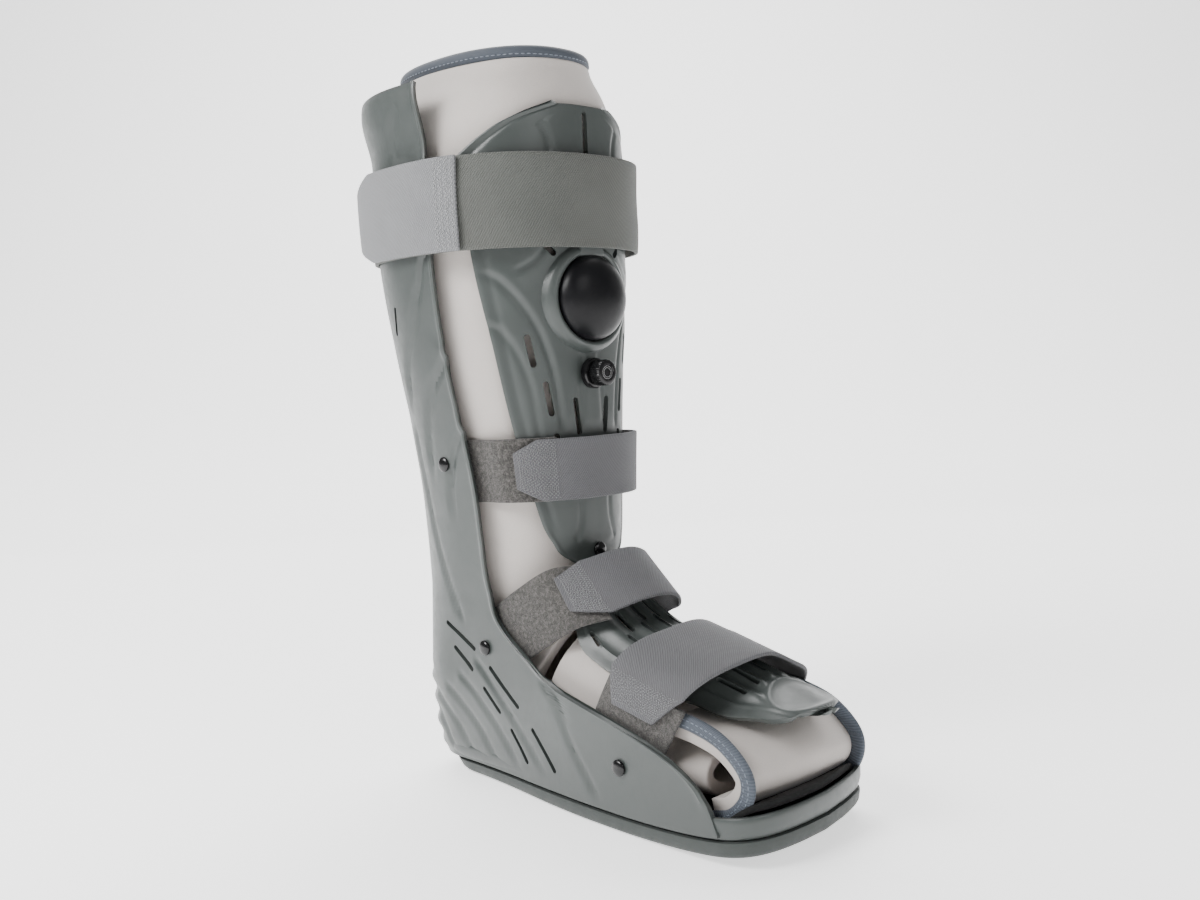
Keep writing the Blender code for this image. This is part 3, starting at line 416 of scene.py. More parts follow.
def spline(points, count=60):
    """A smooth line through a few points, by the same smooth curves as the tables."""
    points = np.asarray(points, float)
    table = [(k, *row) for k, row in enumerate(points)]
    at = np.linspace(0, len(points) - 1, count)
    return np.stack([smooth(table, column + 1)(at) for column in range(points.shape[1])], axis=-1)


def line_distance(line, a, b):
    """Signed distance of flat points (a, b) from a line, and how far along the line they lie."""
    best = np.full(np.shape(a), 1e9)
    signed = np.zeros(np.shape(a))
    along = np.zeros(np.shape(a))
    for k in range(len(line) - 1):
        start, run = line[k], line[k + 1] - line[k]
        t = np.clip(((a - start[0]) * run[0] + (b - start[1]) * run[1]) / (run @ run), 0.0, 1.0)
        da, db = a - start[0] - t * run[0], b - start[1] - t * run[1]
        far = np.hypot(da, db)
        closer = far < best
        best = np.where(closer, far, best)
        side = np.sign(run[0] * db - run[1] * da)
        signed = np.where(closer, far * side, signed)
        along = np.where(closer, (k + t) / (len(line) - 1), along)
    return signed, along


def surface_normals(grid, out_from):
    """Unit normals of a grid of points, turned away from a point function of the grid."""
    across = np.gradient(grid, axis=1)
    up = np.gradient(grid, axis=0)
    normal = np.cross(across, up)
    normal /= np.linalg.norm(normal, axis=-1, keepdims=True) + 1e-12
    away = np.sign(np.sum(normal * (grid - out_from(grid)), axis=-1, keepdims=True))
    return normal * away


def ring_normals(rings, out_from):
    """Normals of closed rings: each ring is read past its seam, so the seam doesn't show."""
    wide = np.concatenate([rings[:, -2:], rings, rings[:, :2]], axis=1)
    return surface_normals(wide, out_from)[:, 2:-2]


def leg_middle(grid):
    """The middle line of the leg at each point's height."""
    axis = grid.copy()
    axis[..., 0] = 0.0
    axis[..., 1] = leg_section(grid[..., 2])[1]
    return axis


def shell_axis(grid):
    """The line that the rear shell is wrapped round: beside each point at the foot and calf walls,
    and the leg's middle line at the back."""
    axis = leg_middle(grid)
    axis[..., 1] = np.minimum(grid[..., 1], axis[..., 1])
    return axis


def joined_bars(bars):
    """Several bars as one cutter."""
    built = bmesh.new()
    for bar in bars:
        built.from_mesh(bar.data)
        discard(bar)
    mesh = bpy.data.meshes.new("slot_bars")
    built.to_mesh(mesh)
    built.free()
    return add_object("slot_bars", mesh)


def cut_slots(item, bars):
    """Cuts closed bars out of a closed piece."""
    cutter = joined_bars(bars)
    made = item.modifiers.new("slots", "BOOLEAN")
    made.operation, made.solver, made.object = "DIFFERENCE", "MANIFOLD", cutter
    baked(item)
    discard(cutter)
    return soften(item, CUT_ANGLE)


def slot_bar(start, end, along, half_depth, width=SLOT_WIDTH, steps=8):
    """A round-ended bar that cuts a slot from start to end through a wall."""
    start, end, along = (np.array(v, float) for v in (start, end, along))
    along = unit(along)
    run = end - start
    run = unit(run - along * (run @ along))
    across = np.cross(along, run)
    flat = []
    for centre, first in ((end, -np.pi / 2), (start, np.pi / 2)):
        for k in range(steps + 1):
            turn = first + np.pi * k / steps
            flat.append(centre + width / 2 * (run * np.cos(turn) + across * np.sin(turn)))
    middle = (start + end) / 2
    flat = np.array([p - along * ((p - middle) @ along) for p in flat])
    return ring_loft("slot_bar", [flat - along * half_depth, flat + along * half_depth], close_ends=True)


def plate_bars(slots, point, aim, width):
    """Bars for the slots of a plate: a slot beside the middle line is cut on both sides."""
    bars = []
    for share1, place1, share2, place2 in slots:
        for side in (-1, 1) if share1 else (1,):
            start, end = point(place1, side * share1), point(place2, side * share2)
            bars.append(slot_bar(start, end, aim(start, side * share1), PLATE_BAR_DEPTH, width))
    return bars


print("relief helpers ready")

# %% [markdown]
# The finishes are all made from nodes. Moulded plastic is a slightly mottled grey with a fine grain
# in its gloss and a faint bump. Webbing gets a diagonal weave from two wave textures on the strap's
# own UV map, whose unit is the metre, so the weave has its real size. Felt and knit are noise at two
# scales, with a little sheen for the fibres that stand up.

# %% Helpers for node materials
def new_finish(name, roughness=0.5, **sockets):
    finish = bpy.data.materials.new(name)
    finish.use_nodes = True
    shader = finish.node_tree.nodes["Principled BSDF"]
    shader.inputs["Roughness"].default_value = roughness
    for socket, value in sockets.items():
        shader.inputs[socket.replace("_", " ")].default_value = value
    return finish


def node(finish, kind, **values):
    """A node with its settings, and its inputs set or linked by name."""
    made = finish.node_tree.nodes.new(kind)
    for name, value in values.items():
        if hasattr(made, name) and not name[0].isupper():
            setattr(made, name, value)
            continue
        key = int(name[1:]) if name[0] == "I" and name[1:].isdigit() else name.replace("_", " ")
        socket = made.inputs[key]
        if isinstance(value, bpy.types.NodeSocket):
            finish.node_tree.links.new(value, socket)
        else:
            socket.default_value = value
    return made


def place_output(finish, on_uv=False):
    coordinates = node(finish, "ShaderNodeTexCoord")
    return coordinates.outputs["UV" if on_uv else "Object"]


def colour_ramp(finish, factor, stops):
    ramp = node(finish, "ShaderNodeValToRGB", Fac=factor)
    elements = ramp.color_ramp.elements
    while len(elements) < len(stops):
        elements.new(0.5)
    for element, (at, colour) in zip(elements, stops):
        element.position = at
        element.color = (*colour, 1.0)
    return ramp.outputs["Color"]


def number_range(finish, value, low, high, to_low, to_high):
    made = node(finish, "ShaderNodeMapRange", Value=value)
    for key, amount in (("From Min", low), ("From Max", high), ("To Min", to_low), ("To Max", to_high)):
        made.inputs[key].default_value = amount
    return made.outputs["Result"]


def maths(finish, operation, a, b=0.0):
    return node(finish, "ShaderNodeMath", operation=operation, I0=a, I1=b).outputs[0]


def noise(finish, place, scale, detail=3.0, rough=0.5):
    made = node(finish, "ShaderNodeTexNoise", Vector=place, Scale=scale, Detail=detail, Roughness=rough)
    return made.outputs["Fac"]


def add_bump(finish, height, strength, distance, under=None):
    made = node(finish, "ShaderNodeBump", Strength=strength, Distance=distance, Height=height)
    if under is not None:
        finish.node_tree.links.new(under, made.inputs["Normal"])
    return made.outputs["Normal"]


def wire(finish, socket, value):
    shader = finish.node_tree.nodes["Principled BSDF"]
    finish.node_tree.links.new(value, shader.inputs[socket])


def weighted(finish, *parts):
    """The sum of some patterns, each with its share."""
    total = None
    for pattern, share in reversed(parts):
        part = maths(finish, "MULTIPLY", pattern, share)
        total = part if total is None else maths(finish, "ADD", part, total)
    return total


def wire_colour(finish, pattern, colour, *stops):
    """A pattern as shades of one colour: each stop is a place on the ramp and how bright it is."""
    wire(finish, "Base Color", colour_ramp(finish, pattern, [
        (at, tuple(channel * bright for channel in colour)) for at, bright in stops]))


def wire_bumps(finish, *layers):
    """Bumps one over the other, from the lowest: each a pattern, a strength and a depth in metres."""
    normal = None
    for pattern, strength, depth in layers:
        normal = add_bump(finish, pattern, strength, depth, normal)
    wire(finish, "Normal", normal)


print("material helpers ready")


# %% Moulded plastic, rubber and black plastic
def plastic_finish(name, colour, roughness, grain=0.25, mottle=0.06):
    finish = new_finish(name, roughness)
    place = place_output(finish)
    broad = noise(finish, place, 22.0, 2.0)
    wire_colour(finish, broad, colour, (0.3, 1.0 - mottle), (0.7, 1.0 + mottle))
    scuffs = noise(finish, place, 160.0, 4.0, 0.65)
    wire(finish, "Roughness", number_range(finish, scuffs, 0.3, 0.7, roughness - 0.06, roughness + 0.08))
    fine = noise(finish, place, 1500.0, 2.0)
    soft = noise(finish, place, 60.0, 2.0)
    wire_bumps(finish, (soft, 0.15, 0.0006), (fine, grain, 0.00012))
    return finish


SHELL = plastic_finish("shell_plastic_satin", (0.055, 0.0635, 0.0605), 0.36)
SOLE = plastic_finish("sole_rubber_matt", (0.047, 0.054, 0.051), 0.56, grain=0.4)
BLACK = plastic_finish("black_plastic_gloss", (0.003, 0.003, 0.0035), 0.20, grain=0.06, mottle=0.1)
BULB = plastic_finish("black_rubber_smooth", (0.004, 0.004, 0.005), 0.36, grain=0.12, mottle=0.1)
INSIDE = plastic_finish("ring_marks_pale", (0.42, 0.42, 0.42), 0.5)
for finish, gloss in ((BLACK, 0.50), (BULB, 0.22), (SOLE, 0.35)):
    finish.node_tree.nodes["Principled BSDF"].inputs["Specular IOR Level"].default_value = gloss
print("plastics ready")


# %% Cloth, foam and felt
# A wave texture has a band every WAVE_UNIT / scale metres.
WAVE_UNIT = 0.314
TWILL_ANGLE = math.radians(35)


def webbing_finish(name, colour, pitch=0.0011, sheen=0.15):
    """A twill of fine diagonal cords, on the strap's own UV map in metres."""
    finish = new_finish(name, 0.78, Sheen_Weight=sheen, Sheen_Roughness=0.4)
    place = place_output(finish, on_uv=True)
    turned = node(finish, "ShaderNodeMapping", Vector=place, Rotation=(0.0, 0.0, TWILL_ANGLE))
    cords = node(finish, "ShaderNodeTexWave", Vector=turned.outputs[0], Scale=WAVE_UNIT / pitch,
                 Distortion=0.4, Detail=1.0, wave_profile="SIN")
    cross = node(finish, "ShaderNodeTexWave", Vector=place, Scale=WAVE_UNIT / (pitch * 0.55),
                 bands_direction="Y", wave_profile="SIN")
    crossed = maths(finish, "ADD", weighted(finish, (cross.outputs["Fac"], 0.45)), 0.55)
    weave = maths(finish, "MULTIPLY", cords.outputs["Fac"], crossed)
    fibre = noise(finish, place, 2600.0, 2.0)
    blotch = noise(finish, place, 45.0, 3.0)
    tone = weighted(finish, (weave, 0.6), (fibre, 0.25), (blotch, 0.25))
    wire_colour(finish, tone, colour, (0.15, 0.66), (0.50, 1.0), (0.90, 1.24))
    wire_bumps(finish, (fibre, 0.3, 0.0002), (weave, 0.75, 0.00030))
    return finish


def felt_finish(name, colour):
    finish = new_finish(name, 0.95, Sheen_Weight=0.2, Sheen_Roughness=0.5)
    place = place_output(finish)
    loops = noise(finish, place, 1300.0, 4.0, 0.75)
    tufts = noise(finish, place, 420.0, 5.0, 0.7)
    tone = weighted(finish, (loops, 0.55), (tufts, 0.45))
    wire_colour(finish, tone, colour, (0.40, 0.40), (0.5, 1.0), (0.60, 2.1))
    wire_bumps(finish, (tone, 0.9, 0.0012))
    return finish


def knit_finish(name, colour):
    finish = new_finish(name, 0.92, Sheen_Weight=0.35, Sheen_Roughness=0.45)
    place = place_output(finish)
    fine = noise(finish, place, 1700.0, 3.0, 0.6)
    broad = noise(finish, place, 30.0, 3.0)
    tone = weighted(finish, (fine, 0.5), (broad, 0.5))
    wire_colour(finish, tone, colour, (0.3, 0.90), (0.7, 1.06))
    wire_bumps(finish, (broad, 0.25, 0.0012), (fine, 0.45, 0.0003))
    return finish


def tape_finish(name, colour, pitch=0.0011):
    """Ribbed tape: fine ribs across its run, on its own UV map."""
    finish = new_finish(name, 0.75, Sheen_Weight=0.25, Sheen_Roughness=0.4)
    place = place_output(finish, on_uv=True)
    ribs = node(finish, "ShaderNodeTexWave", Vector=place, Scale=WAVE_UNIT / pitch, wave_profile="SIN")
    fibre = noise(finish, place, 2400.0, 2.0)
    tone = weighted(finish, (ribs.outputs["Fac"], 0.5), (fibre, 0.5))
    wire_colour(finish, tone, colour, (0.2, 0.70), (0.75, 1.20))
    wire_bumps(finish, (ribs.outputs["Fac"], 0.5, 0.0002))
    return finish


def thread_finish(name, colour):
    finish = new_finish(name, 0.6, Sheen_Weight=0.2)
    twist = noise(finish, place_output(finish), 3000.0, 2.0)
    wire_colour(finish, twist, colour, (0.3, 0.8), (0.7, 1.15))
    return finish


LINER = knit_finish("liner_knit", (0.560, 0.515, 0.482))
TAPE = tape_finish("binding_tape_slate", (0.070, 0.083, 0.105))
WEBBING = webbing_finish("strap_webbing_grey", (0.104, 0.104, 0.110))
CALF_WEBBING = webbing_finish("calf_webbing_olive", (0.092, 0.096, 0.087), pitch=0.0012)
TAB_WEBBING = webbing_finish("tab_webbing_light", (0.195, 0.198, 0.205), pitch=0.0013)
FELT = felt_finish("loop_felt_taupe", (0.062, 0.058, 0.054))
INSOLE = plastic_finish("insole_foam_black", (0.0030, 0.0030, 0.0032), 0.92, grain=0.8)
THREAD = thread_finish("thread_grey", (0.185, 0.185, 0.19))
TAB_THREAD = thread_finish("thread_light", (0.34, 0.34, 0.345))
TAPE_THREAD = thread_finish("thread_pale_slate", (0.17, 0.20, 0.25))
print("soft finishes ready")


# %% A helper that finishes a piece
def finished(item, finish, slot, *nodes, body=BODY):
    item.data.materials.clear()
    item.data.materials.append(finish)
    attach(item, body)
    if nodes:
        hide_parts(*nodes)
    print(item.name, len(item.data.polygons), "faces")
    return item


# %% [markdown]
# Stitches repeat along a line, so Geometry Nodes make them: a line is resampled at the pitch of the
# stitches, a short thread is set on every point along the line's direction, and the threads are made
# real, because an exported model keeps no instances.

# %% Stitches by Geometry Nodes
def new_tree(name, output, **inputs):
    """An empty tree of Geometry Nodes with its sockets, its group input and a maker of nodes."""
    tree = bpy.data.node_groups.new(name, "GeometryNodeTree")
    for socket, kind in inputs.items():
        tree.interface.new_socket(socket, in_out="INPUT", socket_type="NodeSocket" + kind)
    tree.interface.new_socket(output, in_out="OUTPUT", socket_type="NodeSocketGeometry")

    def make(kind, **settings):
        made = tree.nodes.new(kind)
        for key, value in settings.items():
            if hasattr(made, key):
                setattr(made, key, value)
            else:
                made.inputs[key].default_value = value
        return made

    return tree, make("NodeGroupInput"), make


def join(tree, *pairs):
    for out, into in pairs:
        tree.links.new(out, into)


def end_tree(tree, given, make, instances):
    """Makes the instances real and gives them their finish."""
    real, paint = make("GeometryNodeRealizeInstances"), make("GeometryNodeSetMaterial")
    join(tree, (instances.outputs[0], real.inputs[0]),
         (real.outputs[0], paint.inputs["Geometry"]),
         (given.outputs["Finish"], paint.inputs["Material"]),
         (paint.outputs[0], make("NodeGroupOutput").inputs[0]))
    return tree


def stitch_tree():
    tree, given, make = new_tree("stitches_on_a_line", "Stitches", Lines="Geometry", Pitch="Float",
                                 Radius="Float", Length="Float", Finish="Material")
    curve = make("GeometryNodeMeshToCurve")
    spaced = make("GeometryNodeResampleCurve", mode="LENGTH")
    points = make("GeometryNodeCurveToPoints", mode="EVALUATED")
    thread = make("GeometryNodeMeshUVSphere", Segments=6, Rings=4, Radius=1.0)
    size = make("ShaderNodeCombineXYZ")
    threads = make("GeometryNodeInstanceOnPoints")
    join(tree, (given.outputs["Lines"], curve.inputs[0]),
         (curve.outputs[0], spaced.inputs["Curve"]),
         (given.outputs["Pitch"], spaced.inputs["Length"]),
         (spaced.outputs[0], points.inputs[0]),
         (points.outputs["Points"], threads.inputs["Points"]),
         (points.outputs["Rotation"], threads.inputs["Rotation"]),
         (thread.outputs["Mesh"], threads.inputs["Instance"]),
         (given.outputs["Radius"], size.inputs[0]),
         (given.outputs["Radius"], size.inputs[1]),
         (given.outputs["Length"], size.inputs[2]),
         (size.outputs[0], threads.inputs["Scale"]))
    return end_tree(tree, given, make, threads)


def grown(name, points, edges, tree, attributes=None, **values):
    """A piece that a tree of Geometry Nodes grows on points or lines, as plain mesh."""
    mesh = bpy.data.meshes.new(name)
    mesh.from_pydata(points, edges, [])
    for key, vectors in (attributes or {}).items():
        mesh.attributes.new(key, "FLOAT_VECTOR", "POINT").data.foreach_set("vector", np.ravel(vectors))
    item = add_object(name, mesh)
    made = item.modifiers.new(name, "NODES")
    made.node_group = tree
    sockets = {s.name: s.identifier for s in tree.interface.items_tree if s.in_out == "INPUT"}
    for key, value in values.items():
        made[sockets[key]] = value
    return baked(item)


STITCHES = stitch_tree()


def stitched(name, lines, slot, pitch=0.0032, radius=0.00032, share=0.36, finish=None, body=BODY):
    """Threads along lines of points that lie on the cloth. A thread is a share of the pitch long."""
    points, edges = [], []
    for line in lines:
        first = len(points)
        points += [tuple(p) for p in line]
        edges += [(first + k, first + k + 1) for k in range(len(line) - 1)]
    item = grown(name, points, edges, STITCHES, Pitch=pitch, Radius=radius, Length=pitch * share,
                 Finish=finish or THREAD)
    soften(item, THREAD_ANGLE)
    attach(item, body)
    print(item.name, len(item.data.polygons), "faces")
    return item


# %% [markdown]
# The sole and the tray above it are lofts through outlines of the foot. The outsole stops a little
# short of the tray, which leaves the thin dark joint line that runs round the boot. The tray's rim
# stands up round the black insole at the toe.

# %% Outsole, insole and tray
def make_sole():
    outsole = sole_loft("outsole", [
        (0.0, 0.0050, 1.00), (0.0003, 0.0038, 0.96), (0.0012, 0.0024, 0.90), (0.0026, 0.0016, 0.80),
        (0.0070, 0.0010, 0.58), (0.0082, 0.0012, 0.52), (0.0086, 0.0024, 0.50),
        (OUTSOLE_THICK, 0.0030, 0.50),
    ])
    finished(outsole, SOLE, "rubber_sole", "outsole")
    bottom, top = OUTSOLE_THICK + REST_GAP, TOE_RIM_HEIGHT
    outer, inner = SHELL_WALL * 0.16, SHELL_WALL * 1.25
    tray = sole_loft("rear_shell_tray", [
        (bottom, outer + 0.0022, 0.47), (bottom + 0.0006, outer + 0.0013, 0.44),
        (0.0125, outer + 0.0005, 0.20), (0.0150, outer, 0.06), (0.0170, outer, 0.0),
        (top - 0.0009, outer, 0.0), (top - 0.0002, outer + 0.0004, 0.0), (top, outer + 0.0011, 0.0),
        (top, inner - 0.0010, 0.0), (top - 0.0003, inner - 0.0003, 0.0), (top - 0.0011, inner, 0.0),
        (FLOOR_TOP, inner, 0.0),
    ])
    finished(tray, SHELL, "shell_plastic", "rear_shell")
    edge = inner + 2 * REST_GAP
    insole = sole_loft("insole", [
        (FLOOR_TOP + REST_GAP, edge, 0.45), (INSOLE_TOP - 0.0010, edge, 0.45),
        (INSOLE_TOP - 0.0003, edge + 0.0004, 0.45), (INSOLE_TOP, edge + 0.0013, 0.45),
    ])
    for corner in insole.data.vertices:
        if corner.co.z > FLOOR_TOP + 0.6 * INSOLE_THICK:
            corner.co.z += INSOLE_FRONT_RISE * float(ease((-0.190 - corner.co.y) / 0.020))
    finished(insole, INSOLE, "insole_foam", "insole")


make_sole()


# %% [markdown]
# The rear shell is one moulding that runs from the toe walls round the heel and up the calf. Its
# outside is a grid from the free edge on one side round the back to the other. Curved channels are
# pressed into it as relief: each channel is a smooth line on the side view, and every grid point is
# moved by its distance from that line. The slots are then cut right through.

# %% The surface of the rear shell
def wall_half_width(y, z):
    share = (HEEL_BACK - y) / SOLE_LENGTH
    foot = sole_half(np.maximum(share, 0.13)) * SOLE_WIDTH
    foot = foot - 0.45 * HEEL_TUCK * (1.0 - ease(share / 0.55)) * (1.0 - ease((z - OUTSOLE_THICK) / 0.016))
    foot = foot + WALL_LEAN * (2.0 - ease(share / 0.6)) * ease((z - TOE_RIM_HEIGHT) / (0.12 * SHELL_TOP))
    half = leg_section(np.maximum(z, LEG_ROWS[0][0] * BOOT_HEIGHT))[0] + SHELL_PROUD
    half = half + SHELL_FLARE * ease((z - FLARE_START) / FLARE_HEIGHT)
    return foot + (half - foot) * ease((z - 0.17 * SHELL_TOP) / (0.17 * SHELL_TOP))


def shell_back(z):
    low = back_place(z / SHELL_TOP) * HEEL_BACK
    if z < BACK_ROWS[-1][0] * SHELL_TOP:
        return low
    _, middle, _, back = leg_section(z)
    high = middle + back + SHELL_PROUD + 0.5 * SHELL_FLARE * ease((z - FLARE_START) / FLARE_HEIGHT)
    return low + (high - low) * ease((z - 0.29 * SHELL_TOP) / (0.08 * SHELL_TOP))


def shell_middle(z):
    high = leg_section(z)[1]
    return HEEL_CENTRE + (high - HEEL_CENTRE) * ease((z - 0.15 * SHELL_TOP) / (0.20 * SHELL_TOP))


def shell_row(z, straight=84, turn=44):
    edge = float(edge_place(z / SHELL_TOP)) * SOLE_LENGTH
    middle = float(shell_middle(z))
    back = float(shell_back(z))
    y1 = np.linspace(edge, middle, straight, endpoint=False)
    half = float(wall_half_width(middle, z))
    angle = np.pi / 2 * np.arange(turn + 1) / turn
    x = np.concatenate([wall_half_width(y1, z), half * np.abs(np.cos(angle)) ** (2.0 / LEG_POWER)])
    y = np.concatenate([y1, middle + (back - middle) * np.sin(angle) ** (2.0 / LEG_POWER)])
    share = np.concatenate([np.zeros(straight), np.arange(turn + 1) / turn])
    x[-1] = 0.0
    drop = 0.012 * ease((z - FLARE_START) / FLARE_HEIGHT) * share**2
    lift = (1.0 - ease((z - TOE_RIM_HEIGHT) / (0.06 * SHELL_TOP))) * toe_lift(y)
    height = z - drop + lift
    near = np.stack([-x, y, height], axis=-1)
    far = near[-2::-1].copy()
    far[:, 0] *= -1
    return np.concatenate([near, far])


def shell_heights(rows=168):
    """More rows low down, where the foot walls curve and the channels are close."""
    share = np.linspace(0.0, 1.0, rows)
    return SHELL_TOP * (0.027 + 0.973 * (0.55 * share + 0.45 * share**2))


shell_grid = np.array([shell_row(z) for z in shell_heights()])
print("rear shell grid:", shell_grid.shape)

# %% The channels of the rear shell
CHANNEL_DEPTH = 0.85
CHANNEL_RUN_OUT = 0.12
SHOULDER_SHARE = 0.75
# Each channel: its points (place, height) in metres on the side view, and its depth
REAR_CHANNELS = [
    ([(0.002, 0.080), (-0.014, 0.066), (-0.034, 0.045), (-0.061, 0.017)], 0.0010),
    ([(0.020, 0.069), (0.004, 0.058), (-0.014, 0.040), (-0.034, 0.017)], 0.0010),
    ([(0.034, 0.060), (0.020, 0.050), (0.004, 0.035), (-0.010, 0.016)], 0.0010),
    ([(0.048, 0.054), (0.036, 0.044), (0.024, 0.031), (0.014, 0.016)], 0.0009),
    ([(0.056, 0.046), (0.047, 0.038), (0.040, 0.028), (0.034, 0.016)], 0.0009),
    ([(-0.066, 0.076), (-0.078, 0.062), (-0.086, 0.042), (-0.109, 0.012)], 0.0010),
    ([(-0.013, 0.318), (-0.003, 0.312), (0.003, 0.297), (0.016, 0.272), (0.028, 0.250),
      (0.034, 0.222)], 0.0013),
    ([(-0.016, 0.262), (-0.006, 0.249), (0.007, 0.236), (0.016, 0.214), (0.020, 0.180)], 0.0012),
    ([(-0.022, 0.218), (-0.013, 0.210), (-0.004, 0.199), (0.002, 0.180), (0.004, 0.158)], 0.0011),
    ([(0.034, 0.222), (0.033, 0.190), (0.026, 0.150), (0.016, 0.118), (0.006, 0.096)], 0.0010),
    ([(0.010, 0.400), (0.018, 0.385), (0.016, 0.372), (-0.004, 0.366)], 0.0010),
]


def channel_relief(points, depth, y, z, width=0.0021, fade=0.014):
    """A channel with a soft shoulder that dies away on one side, and ends that run out."""
    line = spline(points, 36)
    signed, along = line_distance(line, y, z)
    run_out = ease(along / CHANNEL_RUN_OUT) * ease((1.0 - along) / CHANNEL_RUN_OUT)
    groove = -bell(signed, width)
    shoulder = SHOULDER_SHARE * bell(np.maximum(signed, 0.0), fade) * ease(signed / (2.2 * width))
    return CHANNEL_DEPTH * depth * run_out * (groove + shoulder)


HEEL_WAVE_DEPTH, HEEL_WAVE_PITCH, HEEL_WAVE_CREST = 0.0011, 0.0145, 0.045
LIP_RISE, LIP_WIDTH, LIP_INSET = 0.0009, 0.0017, 0.0013


def rear_relief(grid):
    """The channels, the waves at the heel and the lip along the free edge."""
    y, z = grid[..., 1], grid[..., 2]
    relief = np.zeros(y.shape)
    for points, depth in REAR_CHANNELS:
        relief += channel_relief(points, depth, y, z)
    heel = ease((y - 0.038) / 0.02) * ease((0.070 - z) / 0.012) * ease((z - 0.014) / 0.004)
    relief += HEEL_WAVE_DEPTH * heel * np.cos(2 * np.pi * (z - HEEL_WAVE_CREST) / HEEL_WAVE_PITCH)
    edge = edge_place(z / SHELL_TOP) * SOLE_LENGTH
    lip = bell(y - edge - LIP_INSET, LIP_WIDTH) * ease((z - 0.024) / 0.01)
    return relief + LIP_RISE * lip


normal = surface_normals(shell_grid, shell_axis)
shell_grid = shell_grid + normal * rear_relief(shell_grid)[..., None]
print("relief from", round(float(rear_relief(shell_grid).min()), 5), "m")

# %% Cut the rear shell's slots
# Each slot: start and end place / SOLE_LENGTH and height / SHELL_TOP
REAR_SLOTS = [
    (0.085, 0.236, 0.000, 0.204),
    (0.067, 0.200, 0.011, 0.173),
    (-0.053, 0.180, -0.138, 0.134),
    (-0.028, 0.148, -0.071, 0.119),
    (-0.106, 0.095, -0.149, 0.056),
    (-0.181, 0.105, -0.241, 0.056),
    (0.117, 0.696, 0.128, 0.662),
]
# The shell's rivets at calf, ankle and forefoot: place / SOLE_LENGTH, height / SHELL_TOP
RIVET_ROWS = [(0.018, 0.472), (-0.043, 0.209), (-0.447, 0.090)]

rear_shell = grid_piece("rear_shell", shell_grid[::-1])
add_wall(rear_shell, SHELL_WALL, bevel=0.0008)
bars = []
for y1, z1, y2, z2 in REAR_SLOTS:
    start, end = (0.0, y1 * SOLE_LENGTH, z1 * SHELL_TOP), (0.0, y2 * SOLE_LENGTH, z2 * SHELL_TOP)
    bars.append(slot_bar(start, end, (1, 0, 0), 0.7 * CALF_WIDTH))
cut_slots(rear_shell, bars)
finished(rear_shell, SHELL, "shell_plastic")


# %% [markdown]
# The liner is a padded tube of foam with a knit face. Its rings run from the toe round the heel turn
# and up the leg, and smooth curves through them give the round forms. Foam swells where nothing
# holds it and gives way under a strap, so each point is moved in or out by a small share.

# %% The leg liner
# Rings round the heel turn: angle from level, near and far reach / FOOT_LINER_TOP (a far reach of 0
# ends on the insole), half-width / FOOT_LINER_WIDTH
TURN_ROWS = [
    (0, 0.465, 1.640, 0.512),
    (15, 0.486, 1.700, 0.480),
    (30, 0.542, 1.880, 0.450),
    (38, 0.595, 2.040, 0.446),
    (46, 0.640, 0.000, 0.444),
    (60, 0.660, 0.000, 0.444),
    (66, 0.672, 0.000, 0.452),
    (78, 0.690, 0.000, 0.466),
    (90, 0.720, 0.000, 0.478),
]
LEG_TURNS = 6
# Rings of the foot: place / SOLE_LENGTH, top / FOOT_LINER_TOP, half-width / FOOT_LINER_WIDTH
FOOT_ROWS = [
    (-0.425, 0.895, 0.482),
    (-0.475, 0.740, 0.488),
    (-0.520, 0.580, 0.486),
    (-0.565, 0.565, 0.475),
    (-0.615, 0.530, 0.445),
]
LINER_COLUMNS = 96


def foot_ring(near, far, half, columns=LINER_COLUMNS):
    near, far = np.array(near, float), np.array(far, float)
    angle = 2 * np.pi * np.arange(columns) / columns
    x, y = oval(half, 1.0, 1.0, angle)
    place = (near + far) / 2 + np.outer(y, (far - near) / 2)
    return np.stack([x, place[:, 0], place[:, 1]], axis=-1)


TURN_PIVOT = np.array([-0.355 * SOLE_LENGTH, 1.68 * FOOT_LINER_TOP])


def turn_ring(row):
    """A ring of the heel turn, on a line that swings round a pivot above the instep."""
    turn, near_share, far_share, half_share = row
    angle = math.radians(turn)
    aim = np.array([math.cos(angle), -math.sin(angle)])
    far = far_share * FOOT_LINER_TOP
    if not far_share:
        far = (TURN_PIVOT[1] - LINER_BOTTOM) / math.sin(angle)
    near = TURN_PIVOT + near_share * FOOT_LINER_TOP * aim
    return foot_ring(near, TURN_PIVOT + far * aim, half_share * FOOT_LINER_WIDTH)


def smooth_rings(rings, count):
    """More rings between the given ones, along a smooth curve through each column."""
    rings = np.asarray(rings)
    table = [(k, *row) for k, row in enumerate(rings.reshape(len(rings), -1))]
    at = np.linspace(0, len(rings) - 1, count)
    flat = np.stack([smooth(table, column + 1)(at) for column in range(len(table[0]) - 1)], axis=-1)
    return flat.reshape(count, -1, 3)


def soft_noise(points, size, seed):
    """A gentle swell of foam: a sum of waves with fixed directions."""
    source = np.random.default_rng(seed)
    total = np.zeros(points.shape[:-1])
    for _ in range(7):
        direction = source.normal(size=3)
        direction /= np.linalg.norm(direction)
        phase = source.uniform(0, 2 * np.pi)
        total += np.sin(points @ direction * 2 * np.pi / size / source.uniform(0.7, 1.5) + phase)
    return total / 7


